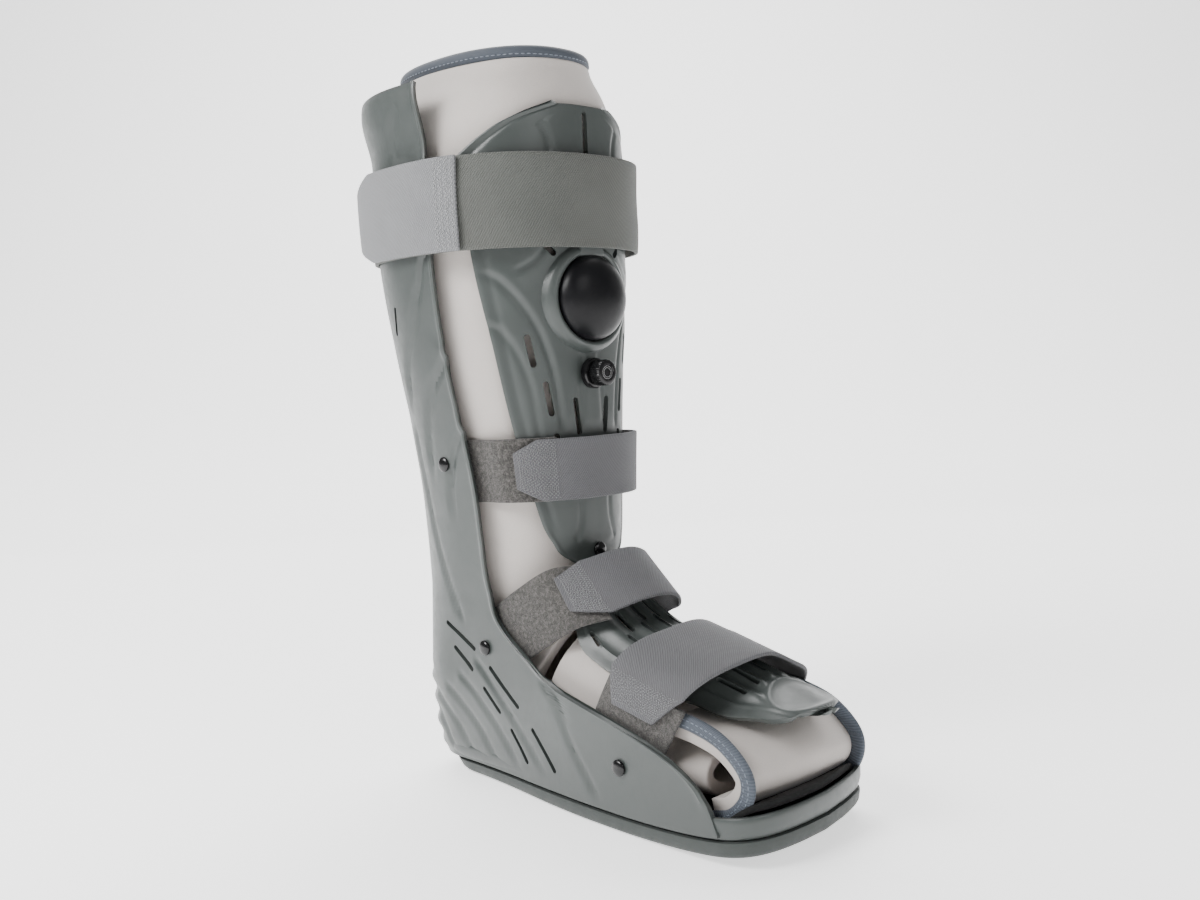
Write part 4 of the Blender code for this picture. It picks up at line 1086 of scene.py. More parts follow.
LEG_TOP_SHARE = 0.986
LEG_TOP = LEG_TOP_SHARE * BOOT_HEIGHT
FOAM_SWELL = 0.0007
SEWN_FOAM = LINER_FOAM - 0.0006
STRAP_PINCH = 0.0008
TOP_ROLL, TOP_ROLL_START, TOP_ROLL_RUN = 0.0055, 0.385, 0.036
PLATE_PRESS, PLATE_LOW, PLATE_HIGH = 0.0055, 0.17, 0.375
around = 2 * np.pi * np.arange(LINER_COLUMNS) / LINER_COLUMNS
leg_rings = [turn_ring(row) for row in TURN_ROWS[:LEG_TURNS]][::-1]
leg_rings += [leg_point(share * BOOT_HEIGHT, around, 0.0)
              for share in (0.42, 0.51, 0.61, 0.73, 0.86, 0.94, LEG_TOP_SHARE)]
leg_rings = smooth_rings(leg_rings, 110)
height = leg_rings[..., 2]
swell = FOAM_SWELL * soft_noise(leg_rings, 0.05, 3) - 0.0006
held = STRAP_PINCH * bell(height - SHIN_STRAP_HEIGHT, 0.016)
rolled = TOP_ROLL * ease((height - TOP_ROLL_START) / TOP_ROLL_RUN) ** 2
pressed = PLATE_PRESS * ease((np.cos(around)[None, :] - 0.62) / 0.15)
pressed = pressed * ease((height - PLATE_LOW) / 0.03) * ease((PLATE_HIGH - height) / 0.02)
moved = swell - held - rolled - pressed
leg_rings = leg_rings + ring_normals(leg_rings, leg_middle) * moved[..., None]
liner_leg = grid_piece("liner_leg", leg_rings, around=True)
add_wall(liner_leg, SEWN_FOAM, bevel=0.0022, segments=4)
finished(liner_leg, LINER, "liner_foam", "liner_leg")

# %% The liner's top binding
top = LEG_TOP + REST_GAP
half, middle, front, back = leg_section(top)
rim = BOOT_HEIGHT - top
turns = np.linspace(0.0, 2 * np.pi, 161)[:-1]
RIM_ROLL = -0.0058


def rim_ring(proud, height):
    proud = proud + RIM_ROLL
    x, y = oval(half + proud, front + proud, back + proud, turns)
    return np.stack([x, middle + y, np.full(len(turns), height)], axis=-1)


fold = []
for angle in np.linspace(-0.30 * np.pi, 1.30 * np.pi, 15):
    across, up = math.cos(angle), math.sin(angle)
    fold.append(rim_ring(-LINER_FOAM / 2 + (LINER_FOAM / 2 + 0.0004) * across,
                         top + 0.25 * rim + 0.75 * rim * up))
binding = ring_loft("liner_top_binding", fold, loop=True)
finished(binding, TAPE, "binding_tape", "liner_top_binding")
sewn_rim = rim_ring(0.0003, top)
lines = [np.concatenate([sewn_rim, sewn_rim[:1]])]
stitched("liner_top_stitches", lines, "binding_tape", pitch=0.0034, finish=TAPE_THREAD)

# %% The foot liner
foot_rings = [turn_ring(row) for row in TURN_ROWS[LEG_TURNS:]]
for place, top_share, half_share in FOOT_ROWS:
    y = place * SOLE_LENGTH
    low = LINER_BOTTOM + float(toe_lift(y))
    foot_rings.append(foot_ring((y, top_share * FOOT_LINER_TOP), (y, low), half_share * FOOT_LINER_WIDTH))
foot_rings = smooth_rings(foot_rings[::-1], 60)


def foot_axis(grid):
    axis = grid.copy()
    axis[..., 0] = 0.0
    axis[..., 2] = grid[..., 2].mean(axis=1, keepdims=True)
    return axis


swell = FOAM_SWELL * soft_noise(foot_rings, 0.045, 8) - 0.0005
foot_rings = foot_rings + ring_normals(foot_rings, foot_axis) * swell[..., None]
liner_foot = grid_piece("liner_foot", foot_rings, around=True)
add_wall(liner_foot, SEWN_FOAM, bevel=0.0030, segments=4)
finished(liner_foot, LINER, "liner_foam", "liner_foot")

# %% [markdown]
# The toe flap is a panel of the same foam that folds over the toes and curls under, so from the side
# it is a C. Slate tape is sewn round each side edge. The tape is a flat loop that is swept along the
# C, so it wraps the foam's edge from the outer face to the inner one.

# %% The toe flap
# Place / SOLE_LENGTH, height / FOOT_LINER_TOP, and how far aft and down the side edges lie
FLAP_ROWS = [
    (-0.540, 0.680, 0.000, 0.030),
    (-0.570, 0.675, 0.002, 0.033),
    (-0.610, 0.660, 0.004, 0.036),
    (-0.665, 0.620, 0.010, 0.040),
    (-0.708, 0.545, 0.016, 0.038),
    (-0.735, 0.445, 0.022, 0.020),
    (-0.728, 0.335, 0.020, 0.000),
    (-0.690, 0.258, 0.010, 0.000),
    (-0.645, 0.232, 0.000, 0.000),
]
FLAP_WIDTH = 0.092


def flap_line(share, count=80, sink=0.0):
    """The flap's outer face at one share of its half-width, as a smooth line along its run."""
    table = [(k, *row) for k, row in enumerate(FLAP_ROWS)]
    at = np.linspace(0, len(FLAP_ROWS) - 1, count)
    place, height, aft, down = (smooth(table, column)(at) for column in (1, 2, 3, 4))
    y = (place + aft * share * share) * SOLE_LENGTH
    z = (height - down * share * share) * FOOT_LINER_TOP
    run = unit(np.stack([np.gradient(y), np.gradient(z)], axis=-1))
    y, z = y - sink * run[:, 1], z + sink * run[:, 0]
    return np.stack([np.full(count, share * FLAP_WIDTH / 2), y, z], axis=-1)


shares = np.linspace(-1.0, 1.0, 61)
flap_grid = np.array([flap_line(share) for share in shares]).transpose(1, 0, 2)
sag = 0.0006 * soft_noise(flap_grid, 0.04, 21)
flap_grid[..., 2] += sag - 0.0005
toe_flap = grid_piece("toe_flap", flap_grid[::-1])
add_wall(toe_flap, FLAP_FOAM, bevel=0.0022, segments=4)
finished(toe_flap, LINER, "liner_foam", "toe_flap")


# %% The flap's bindings
TAPE_THICK, TAPE_CORNER = 0.0007, 0.0024


def flap_binding(name, side):
    """Tape that wraps the flap's side edge: a rounded loop swept along the C."""
    rings = []
    centre = flap_line(1.0)
    run = unit(np.gradient(centre[:, 1:], axis=0))
    inward = np.stack([run[:, 1], -run[:, 0]], axis=-1)
    middle = centre[:, 1:] + inward * FLAP_FOAM / 2
    half_thick = FLAP_FOAM / 2 + TAPE_THICK
    for k in range(len(centre)):
        ring = []
        for a in np.linspace(0.0, 2 * np.pi, 25)[:-1]:
            s, c = math.sin(a), math.cos(a)
            radial = half_thick * math.copysign(abs(s) ** 0.7, s)
            out = TAPE_CORNER * (c if c > 0 else 0.9 * c)
            x = side * (FLAP_WIDTH / 2 + REST_GAP + out)
            ring.append((x, *(middle[k] + inward[k] * radial)))
        rings.append(ring)
    item = ring_loft(name, rings, close_ends=True)
    item.data.uv_layers.new(name="UVMap")
    return item


def flap_binding_uv(item):
    """Lengths in metres along the C and round the tape."""
    layer = item.data.uv_layers["UVMap"]
    for loop in item.data.loops:
        p = item.data.vertices[loop.vertex_index].co
        layer.data[loop.index].uv = (math.atan2(p.z - 0.045, p.y + 0.165) * 0.03, p.x)


for word, side in (("near", -1), ("far", 1)):
    binding = flap_binding("toe_flap_binding_" + word, side)
    flap_binding_uv(binding)
    finished(binding, TAPE, "binding_tape", "toe_flap_binding_" + word)
    sewn = flap_line(1.0, 160)
    run = unit(np.gradient(sewn[:, 1:], axis=0))
    lines = []
    for sink in (0.30, 0.74):
        line = sewn.copy()
        line[:, 0] = side * (FLAP_WIDTH / 2 + REST_GAP + 0.96 * TAPE_CORNER)
        line[:, 1] += sink * FLAP_FOAM * run[:, 1]
        line[:, 2] -= sink * FLAP_FOAM * run[:, 0]
        lines.append(line[4:-4])
    stitched("toe_flap_stitches_" + word, lines, "binding_tape", pitch=0.0030, finish=TAPE_THREAD)

# %% [markdown]
# The shin plate bends round the front of the liner, so its grid is written in height and in shares
# of its own half-width. A raised border runs down each side, and curved channels sweep from the edge
# to the slots below the pump. The pump sits in a raised collar.

# %% The shin plate
# Height / BOOT_HEIGHT, half-width / CALF_WIDTH
SHIN_ROWS = [
    (0.312, 0.120),
    (0.322, 0.175),
    (0.345, 0.225),
    (0.400, 0.280),
    (0.480, 0.335),
    (0.600, 0.405),
    (0.730, 0.470),
    (0.860, 0.478),
    (0.875, 0.440),
    (0.900, 0.330),
    (0.917, 0.180),
]
shin_side = smooth(SHIN_ROWS, 1)


def shin_point(z, share, proud=SHIN_PROUD):
    side = shin_side(np.asarray(z) / BOOT_HEIGHT) * CALF_WIDTH
    return leg_point(z, share * angle_for_side(z, side, proud), proud)


def front_of_shin(z):
    return float(leg_point(z, 0.0, SHIN_PROUD)[1])


# Channels of the shin plate: points (side distance, height) in metres, depth
SHIN_CHANNELS = [
    ([(-0.058, 0.304), (-0.048, 0.293), (-0.035, 0.272), (-0.027, 0.250), (-0.023, 0.228),
      (-0.021, 0.208)], 0.0012),
    ([(-0.056, 0.276), (-0.046, 0.262), (-0.038, 0.240), (-0.034, 0.215), (-0.032, 0.196)], 0.0008),
    ([(-0.026, 0.330), (-0.028, 0.318), (-0.034, 0.308), (-0.046, 0.300)], 0.0008),
    ([(-0.012, 0.176), (-0.012, 0.160), (-0.016, 0.146)], 0.0008),
    ([(-0.006, 0.258), (-0.008, 0.236), (-0.009, 0.212)], 0.0007),
    ([(-0.030, 0.384), (-0.026, 0.376), (-0.024, 0.366)], 0.0009),
]
# Slots of the shin plate: share of its half-width and height / BOOT_HEIGHT, at both ends
SHIN_SLOT_WIDTH = 0.0036
SHIN_SLOTS = [
    (0.640, 0.615, 0.620, 0.580),
    (0.520, 0.553, 0.500, 0.515),
    (0.480, 0.484, 0.480, 0.457),
    (0.190, 0.530, 0.170, 0.488),
    (0.000, 0.905, 0.000, 0.850),
    (0.370, 0.736, 0.300, 0.724),
]


def plate_relief(channels, a, b, width, fade):
    """The relief of a plate that is the same on both sides of its middle line."""
    relief = np.zeros(a.shape)
    for points, depth in channels:
        relief += channel_relief(points, depth, -np.abs(a), b, width, fade)
    return relief


def make_shin_plate():
    heights = np.linspace(SHIN_ROWS[0][0], SHIN_ROWS[-1][0], 190) * BOOT_HEIGHT
    shares = np.linspace(-1.0, 1.0, 111)
    grid = shin_point(heights[:, None], shares[None, :])
    relief = plate_relief(SHIN_CHANNELS, grid[..., 0], grid[..., 2], 0.0017, 0.009)
    side = np.abs(shares)[None, :] * shin_side(heights / BOOT_HEIGHT)[:, None] * CALF_WIDTH
    rim = shin_side(heights / BOOT_HEIGHT)[:, None] * CALF_WIDTH - side
    relief += 0.0005 * bell(rim - 0.0016, 0.0018)
    relief -= 0.0006 * bell(rim - 0.0065, 0.0020) * ease((heights[:, None] - 0.15) / 0.02)
    grid = grid + surface_normals(grid, leg_middle) * relief[..., None]
    plate = grid_piece("shin_shell", grid)
    add_wall(plate, SHELL_WALL, bevel=0.0007)
    cut_slots(plate, plate_bars(
        SHIN_SLOTS, lambda height, share: shin_point(height * BOOT_HEIGHT, share),
        lambda start, share: (start[0], 0.75 * start[1], 0.0), SHIN_SLOT_WIDTH))
    return finished(plate, SHELL, "shell_plastic", "shin_shell")


make_shin_plate()

# %% [markdown]
# The pump is a rubber dome that a thumb presses. It is a turned piece whose profile is a quarter
# round. The collar round it is lofted so that its foot follows the bend of the shin plate.

# %% The pump and its collar
seat = min(front_of_shin(BULB_HEIGHT), front_of_shin(BULB_HEIGHT + BULB_RADIUS)) - 2 * REST_GAP
quarter = np.linspace(0.0, np.pi / 2, 26)
profile = [(BULB_RADIUS * math.sin(a), BULB_RISE * math.cos(a) ** 0.94 if a < 1.5 else 0.0008)
           for a in quarter]
profile += [(BULB_RADIUS, 0.0), (0.0, 0.0)]
bulb = lathe("pump_bulb", profile, (0, seat, BULB_HEIGHT), (0, -1, 0), steps=128)
finished(bulb, BULB, "black_rubber", "pump_bulb")


def collar_ring(radius, rise, steps=128):
    """A ring round the pump whose height is measured from the shin plate below it."""
    angle = 2 * np.pi * np.arange(steps) / steps
    x, z = radius * np.cos(angle), BULB_HEIGHT + radius * np.sin(angle)
    side = angle_for_side(z, x, SHIN_PROUD)
    y = leg_point(z, side, SHIN_PROUD)[..., 1]
    flat = front_of_shin(BULB_HEIGHT)
    blend = 0.45 if rise > 0 else 0.0
    return np.stack([x, y + (flat - y) * blend - rise, z], axis=-1)


inner, outer = BULB_RADIUS + REST_GAP, BULB_RADIUS + COLLAR_WIDTH
collar = ring_loft("pump_collar", [
    collar_ring(inner, -0.0010),
    collar_ring(inner, 0.55 * COLLAR_RISE),
    collar_ring(inner + 0.0005, 0.80 * COLLAR_RISE),
    collar_ring(inner + 0.0014, 0.95 * COLLAR_RISE),
    collar_ring(inner + 0.0024, COLLAR_RISE),
    collar_ring(inner + 0.0034, 0.90 * COLLAR_RISE),
    collar_ring(outer - 0.0010, 0.60 * COLLAR_RISE),
    collar_ring(outer - 0.0002, 0.22 * COLLAR_RISE),
    collar_ring(outer + 0.0006, -0.0006),
    collar_ring(outer, -0.0012),
], loop=True)
finished(collar, SHELL, "shell_plastic")

# %% The pump's neck, a short block above the dome
def neck_ring(half, low, high, rise):
    ring = []
    for x, z in ((-half, low), (half, low), (half * 0.92, high), (-half * 0.92, high)):
        y = leg_point(z, angle_for_side(z, x, SHIN_PROUD), SHIN_PROUD)[1]
        ring.append((float(x), float(y) - rise, float(z)))
    return ring


low_neck = BULB_HEIGHT + BULB_RADIUS - 0.0012
high_neck = CALF_STRAP_HEIGHT - CALF_STRAP_WIDTH / 2 + 0.004
neck = ring_loft("pump_neck", [neck_ring(0.0098, low_neck, high_neck, -0.001),
                               neck_ring(0.0098, low_neck, high_neck, 0.0035),
                               neck_ring(0.0088, low_neck + 0.0008, high_neck - 0.0010, 0.0042)], close_ends=True)
rim = neck.modifiers.new("rim", "BEVEL")
rim.width, rim.segments, rim.limit_method, rim.angle_limit = 0.0010, 3, "ANGLE", math.radians(30)
soften(baked(neck))
finished(neck, SHELL, "shell_plastic")

# %% The valve, with a knurled knob that turns
valve_seat = front_of_shin(VALVE_HEIGHT) - 3 * REST_GAP
VALVE_BASE_RADIUS, VALVE_BASE_LENGTH = 0.0088, 0.004
KNOB_RADIUS, KNOB_LENGTH = 0.0074, 0.0085
base_profile = [(0.0, 1.0), (0.80, 1.0), (0.93, 0.94), (1.0, 0.76), (1.0, 0.0), (0.0, 0.0)]
base_profile = [(r * VALVE_BASE_RADIUS, h * VALVE_BASE_LENGTH) for r, h in base_profile]
valve_base = lathe("valve_base", base_profile, (0, valve_seat, VALVE_HEIGHT), (0, -1, 0), 72)
finished(valve_base, BLACK, "black_plastic", "valve_base")
knob_profile = [(0.0, 0.96), (0.62, 0.96), (0.66, 1.0), (0.84, 1.0), (0.94, 0.975), (0.97, 0.93),
                (0.97, 0.66), (0.97, 0.40), (0.97, 0.16), (0.90, 0.08), (0.86, 0.0), (0.0, 0.0)]
knob_profile = [(r * KNOB_RADIUS, h * KNOB_LENGTH) for r, h in knob_profile]
knob_seat = (0, valve_seat - VALVE_BASE_LENGTH - REST_GAP, VALVE_HEIGHT)
valve_knob = lathe("valve_knob", knob_profile, knob_seat, (0, -1, 0), 192, ribs=32, rib_depth=0.00022,
                   rib_rows=(5, 6, 7, 8))
finished(valve_knob, BLACK, "black_plastic", "valve_knob", body="valve_knob")
face = knob_seat[1] - 0.96 * KNOB_LENGTH - 0.00005
angle = np.linspace(0, 2 * np.pi, 49)
marks = [np.stack([radius * np.cos(angle), np.full(49, face), VALVE_HEIGHT + radius * np.sin(angle)], axis=-1)
         for radius in (0.50 * KNOB_RADIUS, 0.36 * KNOB_RADIUS)]
stitched("valve_knob_marks", marks, "black_plastic", pitch=0.0009, radius=0.00018, share=0.36, finish=INSIDE,
         body="valve_knob")


# %% [markdown]
# The instep plate is a saddle: it starts as a tongue under the shin plate, widens over the instep and
# ends in a smooth lobe above the toes. Its ribs lie along the foot between rows of slots.

# %% The instep plate
# Place / SOLE_LENGTH, crest / FOOT_LINER_TOP, half-width / FOOT_LINER_WIDTH, drop at the edge
INSTEP_ROWS = [
    (-0.2035, 1.520, 0.110, 0.010),
    (-0.2055, 1.365, 0.130, 0.012),
    (-0.2160, 1.315, 0.190, 0.030),
    (-0.2400, 1.275, 0.300, 0.120),
    (-0.2840, 1.225, 0.400, 0.260),
    (-0.3400, 1.115, 0.425, 0.240),
    (-0.4040, 1.030, 0.425, 0.215),
    (-0.4800, 0.980, 0.400, 0.215),
    (-0.5600, 0.925, 0.365, 0.190),
    (-0.6400, 0.855, 0.345, 0.165),
    (-0.7000, 0.800, 0.310, 0.100),
    (-0.7520, 0.750, 0.262, 0.062),
    (-0.7840, 0.720, 0.205, 0.040),
]
# Slots of the instep plate: share of its half-width and place / SOLE_LENGTH, at both ends
INSTEP_SLOT_WIDTH = 0.0024
INSTEP_SLOTS = [
    (0.820, -0.300, 0.850, -0.326),
    (0.420, -0.320, 0.440, -0.366),
    (0.140, -0.310, 0.150, -0.362),
    (0.560, -0.372, 0.580, -0.414),
    (0.290, -0.372, 0.300, -0.420),
    (0.000, -0.366, 0.000, -0.418),
    (0.620, -0.590, 0.640, -0.650),
    (0.330, -0.590, 0.360, -0.655),
    (0.000, -0.590, 0.000, -0.640),
]
instep_crest, instep_half, instep_drop = (smooth(INSTEP_ROWS, column) for column in (1, 2, 3))


def instep_point(y, share):
    place = np.asarray(y) / SOLE_LENGTH
    x = share * instep_half(place) * FOOT_LINER_WIDTH
    z = (instep_crest(place) - instep_drop(place) * share * share) * FOOT_LINER_TOP
    x, y, z = np.broadcast_arrays(x, y, z)
    return np.stack([x, y, z], axis=-1)


TIP_RUN = 0.020
RIB_DEPTH, RIB_COUNT = 0.0010, 3.2
LOBE_PLACE, LOBE_HALF_WIDTH, LOBE_HALF_LENGTH = -0.2040, 0.0190, 0.0135


def make_instep_plate():
    place = np.linspace(0.0, 1.0, 190)
    line = spline([(row[0] * SOLE_LENGTH, row[1] * FOOT_LINER_TOP) for row in INSTEP_ROWS], 400)
    length = np.concatenate([[0.0], np.cumsum(np.linalg.norm(np.diff(line, axis=0), axis=1))])
    y = np.interp(place * length[-1], length, line[:, 0])
    shares = np.linspace(-1.0, 1.0, 81)
    grid = instep_point(y[:, None], shares[None, :])
    # The tip is drawn in on an arc.
    half = instep_half(y / SOLE_LENGTH)[:, None] * FOOT_LINER_WIDTH
    reach = np.clip((y - y[-1]) / TIP_RUN, 0.0, 1.0)[:, None]
    grid[..., 0] *= np.sqrt(np.clip(1.0 - (1.0 - reach) ** 2, 0.005, 1.0))
    grid[..., 2] = instep_point(y[:, None], grid[..., 0] / half)[..., 2]
    rim = half - np.abs(grid[..., 0])
    on_foot = ease((-0.066 - grid[..., 1]) / 0.010)
    relief = 0.0009 * ease((rim - 0.0042) / 0.0016) * on_foot - 0.0005 * on_foot
    ribs = np.cos(2 * np.pi * shares * RIB_COUNT)[None, :] * RIB_DEPTH
    oval_reach = np.hypot(grid[..., 0] / LOBE_HALF_WIDTH, (grid[..., 1] - LOBE_PLACE) / LOBE_HALF_LENGTH)
    relief += 0.0006 * bell(oval_reach - 1.04, 0.09) - 0.0005 * ease((1.0 - oval_reach) / 0.3)
    front = ease((-0.150 - grid[..., 1]) / 0.006) * ease((oval_reach - 1.10) / 0.35)
    back = ease((-0.080 - grid[..., 1]) / 0.006) * ease((grid[..., 1] + 0.124) / 0.008)
    relief += ribs * (front + back) * ease((rim - 0.004) / 0.003)
    grid[..., 2] += relief
    plate = grid_piece("instep_shell", grid[::-1])
    add_wall(plate, SHELL_WALL, bevel=0.0007, even=False)
    cut_slots(plate, plate_bars(
        INSTEP_SLOTS, lambda place, share: instep_point(place * SOLE_LENGTH, share),
        lambda start, share: (0.35 * share, -0.25, 1.0), INSTEP_SLOT_WIDTH))
    return finished(plate, SHELL, "shell_plastic", "instep_shell")


make_instep_plate()


# %% [markdown]
# The rivets repeat, so one dome is made and Geometry Nodes set it on points. Each point carries the
# direction that its rivet faces. The result is one plain mesh that stands for all seven CAD rivets.

# %% Rivets by Geometry Nodes
def side_of_shell(y, z):
    middle = float(shell_middle(z))
    half = float(wall_half_width(min(y, middle), z))
    if y > middle:
        half *= (1.0 - ((y - middle) / (float(shell_back(z)) - middle)) ** LEG_POWER) ** (1.0 / LEG_POWER)
    return half


def rivet_tree():
    tree, given, make = new_tree("rivets_on_points", "Rivets", Points="Geometry", Rivet="Object",
                                 Finish="Material")
    shape = make("GeometryNodeObjectInfo")
    facing = make("GeometryNodeInputNamedAttribute", data_type="FLOAT_VECTOR", Name="facing")
    aim = make("FunctionNodeAlignRotationToVector", axis="Z")
    rivets = make("GeometryNodeInstanceOnPoints")
    join(tree, (given.outputs["Points"], rivets.inputs["Points"]),
         (given.outputs["Rivet"], shape.inputs["Object"]),
         (shape.outputs["Geometry"], rivets.inputs["Instance"]),
         (facing.outputs[0], aim.inputs["Vector"]),
         (aim.outputs[0], rivets.inputs["Rotation"]))
    return end_tree(tree, given, make, rivets)


RIVET_SHANK, SHANK_DEPTH = 0.55 * RIVET_RADIUS, -0.7 * SHELL_WALL
SHIN_RIVET_SINK, SIDE_RIVET_LIFT = 0.0008, 0.0009
turn = np.linspace(0.0, np.pi / 2, 10)
dome_profile = [(RIVET_RADIUS * math.sin(a), RIVET_RISE * (0.25 + 0.75 * math.cos(a))) for a in turn]
dome_profile += [(RIVET_RADIUS, 0.0), (RIVET_SHANK, 0.0), (RIVET_SHANK, SHANK_DEPTH), (0.0, SHANK_DEPTH)]
dome = lathe("rivet_dome", dome_profile, (0, 0, 0), (0, 0, 1), 40)
places = [(0.0, front_of_shin(RIVET_HEIGHT) - SHIN_RIVET_SINK, RIVET_HEIGHT)]
facings = [(0.0, -1.0, 0.0)]
for y_share, z_share in RIVET_ROWS:
    y, z = y_share * SOLE_LENGTH, z_share * SHELL_TOP
    for side in (-1, 1):
        places.append((side * (side_of_shell(y, z) + SIDE_RIVET_LIFT), y, z))
        facings.append((float(side), 0.0, 0.0))
rivets = grown("rivets", places, [], rivet_tree(), {"facing": facings}, Rivet=dome, Finish=BLACK)
bpy.data.objects.remove(dome)
soften(rivets, TURNED_ANGLE)
finished(rivets, BLACK, "black_plastic", "ankle_rivet", "calf_rivet_near", "calf_rivet_far", "ankle_rivet_near",
         "ankle_rivet_far", "forefoot_rivet_near", "forefoot_rivet_far")

# %% [markdown]
# A strap is flat webbing, so it is a grid of stations along its run and lines across its width, given
# its thickness outwards. The hook tab at a strap's near end is cut with chamfered corners: the
# stations close to the end are narrower. Each strap is sewn with rows of thread, and the loop pad
# below it is thicker felt that shows past the strap's end.

# %% Straps round the leg
PAD_BEVEL = 0.0009
HOOK_SEWING = {"pitch": 0.0016, "radius": 0.00026}
THREAD_LIFT = 0.0001


def diamond_rows(sewn, step):
    """Zigzag rows over a patch of rows x columns of points, two by two as diamonds."""
    lines = []
    rows, columns = sewn.shape[:2]
    for first in range(0, columns - step, step):
        for phase in (0, 1):
            lines.append([sewn[k, first + (step if (k + phase) % 2 else 0)] for k in range(1, rows - 1)])
    return lines


def strap_piece(name, rows, thickness, finish, slot, bevel=0.0006, flip=False, around=False):
    """A strap or pad of one thickness, outwards from its rows, in place of the node of its name."""
    item = grid_piece(name, rows[::-1] if flip else rows, around=around)
    add_wall(item, thickness, bevel=bevel, offset=1.0, segments=2)
    return finished(item, finish, slot, name)


def stand_off(angle):
    """How proud of the leg the calf strap runs: close at the back, standing off in front."""
    far, near = SHELL_PROUD + CALF_STRAP_STAND - 0.002, SHELL_PROUD + 2 * REST_GAP
    return near + (far - near) * ease((np.cos(angle) + 0.35) / 0.9)


def calf_flare(z, angle):
    flare = SHELL_FLARE * ease((z - FLARE_START) / FLARE_HEIGHT)
    return np.where(np.cos(angle) < 0.3, flare, 0.0)


TAB_START, TAB_TURN = 62.0, 75.0


def make_calf_strap():
    low, high = CALF_STRAP_HEIGHT - CALF_STRAP_WIDTH / 2, CALF_STRAP_HEIGHT + CALF_STRAP_WIDTH / 2
    angle = np.pi + 2 * np.pi * np.arange(220) / 220
    heights = np.linspace(low, high, 27)[:, None]
    across = (heights - CALF_STRAP_HEIGHT) / CALF_STRAP_WIDTH
    ripple = 0.0004 * np.sin(5 * angle + 1.0) * np.sin(7 * across + 0.6)
    band = leg_point(heights, angle[None, :], stand_off(angle)[None, :] + calf_flare(heights, angle) + ripple)
    strap_piece("calf_strap_band", band, STRAP_THICK, CALF_WEBBING, "calf_webbing", around=True)
    share = np.linspace(0.0, 1.0, 66)
    width = 1.0 - 0.47 * np.clip((share - 0.66) / 0.34, 0.0, 1.0)
    angle = -np.radians(TAB_START + TAB_TURN * share)
    lift = 0.004 * ease((share - 0.45) / 0.55)
    v = np.linspace(-0.5, 0.5, 25)[:, None]
    z = CALF_STRAP_HEIGHT + v * CALF_STRAP_WIDTH * width[None, :]
    tab = leg_point(z, angle[None, :], (stand_off(angle) + STRAP_THICK + 0.0007 + lift)[None, :])
    strap_piece("calf_strap_tab", tab, STRAP_THICK, TAB_WEBBING, "strap_webbing", flip=True)
    lines = []
    for first in (0.012, 0.046, 0.080, 0.114):
        run = []
        for k in range(31):
            v = -0.47 + 0.94 * k / 30
            step = first + (0.022 if k % 2 else 0.0)
            a = -math.radians(TAB_START + TAB_TURN * step)
            proud = float(stand_off(a)) + 2 * STRAP_THICK + 0.0008
            run.append(leg_point(CALF_STRAP_HEIGHT + v * CALF_STRAP_WIDTH, a, proud))
        lines.append(run)
    stitched("calf_strap_stitches", lines, "strap_webbing", pitch=0.0018, radius=0.00030, finish=TAB_THREAD)


make_calf_strap()


def make_shin_strap():
    inside, over = 0.75 * SKIN_GAP, SHIN_PROUD + SKIN_GAP
    v = np.linspace(-0.5, 0.5, 19)[:, None]
    degrees = np.linspace(-108, -24, 70)
    angle = np.radians(degrees)
    proud = inside + (over - inside) * ease((73 - np.abs(degrees)) / 18)
    pad = leg_point(SHIN_STRAP_HEIGHT + v * SHIN_STRAP_WIDTH * 1.04, angle[None, :], proud[None, :])
    strap_piece("shin_strap_pad", pad, PAD_THICK, FELT, "loop_felt", bevel=PAD_BEVEL)
    degrees = np.linspace(-50, 104.8, 150)
    angle = np.radians(degrees)
    outer = over + PAD_THICK + SKIN_GAP
    bowed = outer + 0.004 * np.sin(np.pi * np.clip((degrees + 50) / 100, 0, 1))
    proud = np.where(degrees < 50, bowed, outer + (inside - outer) * ease((degrees - 50) / 22))
    width = 1.0 - 0.42 * (1.0 - np.clip((degrees + 50) / 14.0, 0.0, 1.0))
    z = SHIN_STRAP_HEIGHT + v * SHIN_STRAP_WIDTH * width[None, :]
    strap = leg_point(z, angle[None, :], proud[None, :])
    strap_piece("shin_strap", strap, STRAP_THICK, WEBBING, "strap_webbing")
    sewn = leg_point(z[:, 2:24], angle[2:24], proud[2:24] + STRAP_THICK + THREAD_LIFT)
    stitched("shin_strap_stitches", diamond_rows(sewn, 2), "strap_webbing", **HOOK_SEWING)


make_shin_strap()

# %% Straps over the foot
# Paths: side / FOOT_LINER_WIDTH, place / SOLE_LENGTH, height / FOOT_LINER_TOP, direction across
ANKLE_PATH = [
    (0.458, -0.040, 0.850, 0.45, 0.89),
    (0.458, -0.100, 0.960, 0.47, 0.88),
    (0.455, -0.170, 1.080, 0.52, 0.85),
    (0.410, -0.245, 1.200, 0.58, 0.81),
    (0.290, -0.300, 1.240, 0.68, 0.73),
    (0.150, -0.332, 1.280, 0.73, 0.68),
    (0.000, -0.342, 1.290, 0.73, 0.68),
]
FOREFOOT_PATH = [
    (0.518, -0.440, 0.360, 0.95, 0.20),
    (0.522, -0.444, 0.500, 0.95, 0.22),
    (0.555, -0.478, 0.640, 0.95, 0.24),
    (0.545, -0.510, 0.800, 0.95, 0.26),
    (0.450, -0.540, 0.905, 0.95, 0.27),
    (0.240, -0.560, 0.955, 0.95, 0.25),
    (0.000, -0.567, 0.965, 0.95, 0.25),
]


def real_path(rows, side):
    scale = np.array([side * FOOT_LINER_WIDTH, SOLE_LENGTH, FOOT_LINER_TOP, 1.0, 1.0])
    return [tuple(np.array(row) * scale) for row in rows]


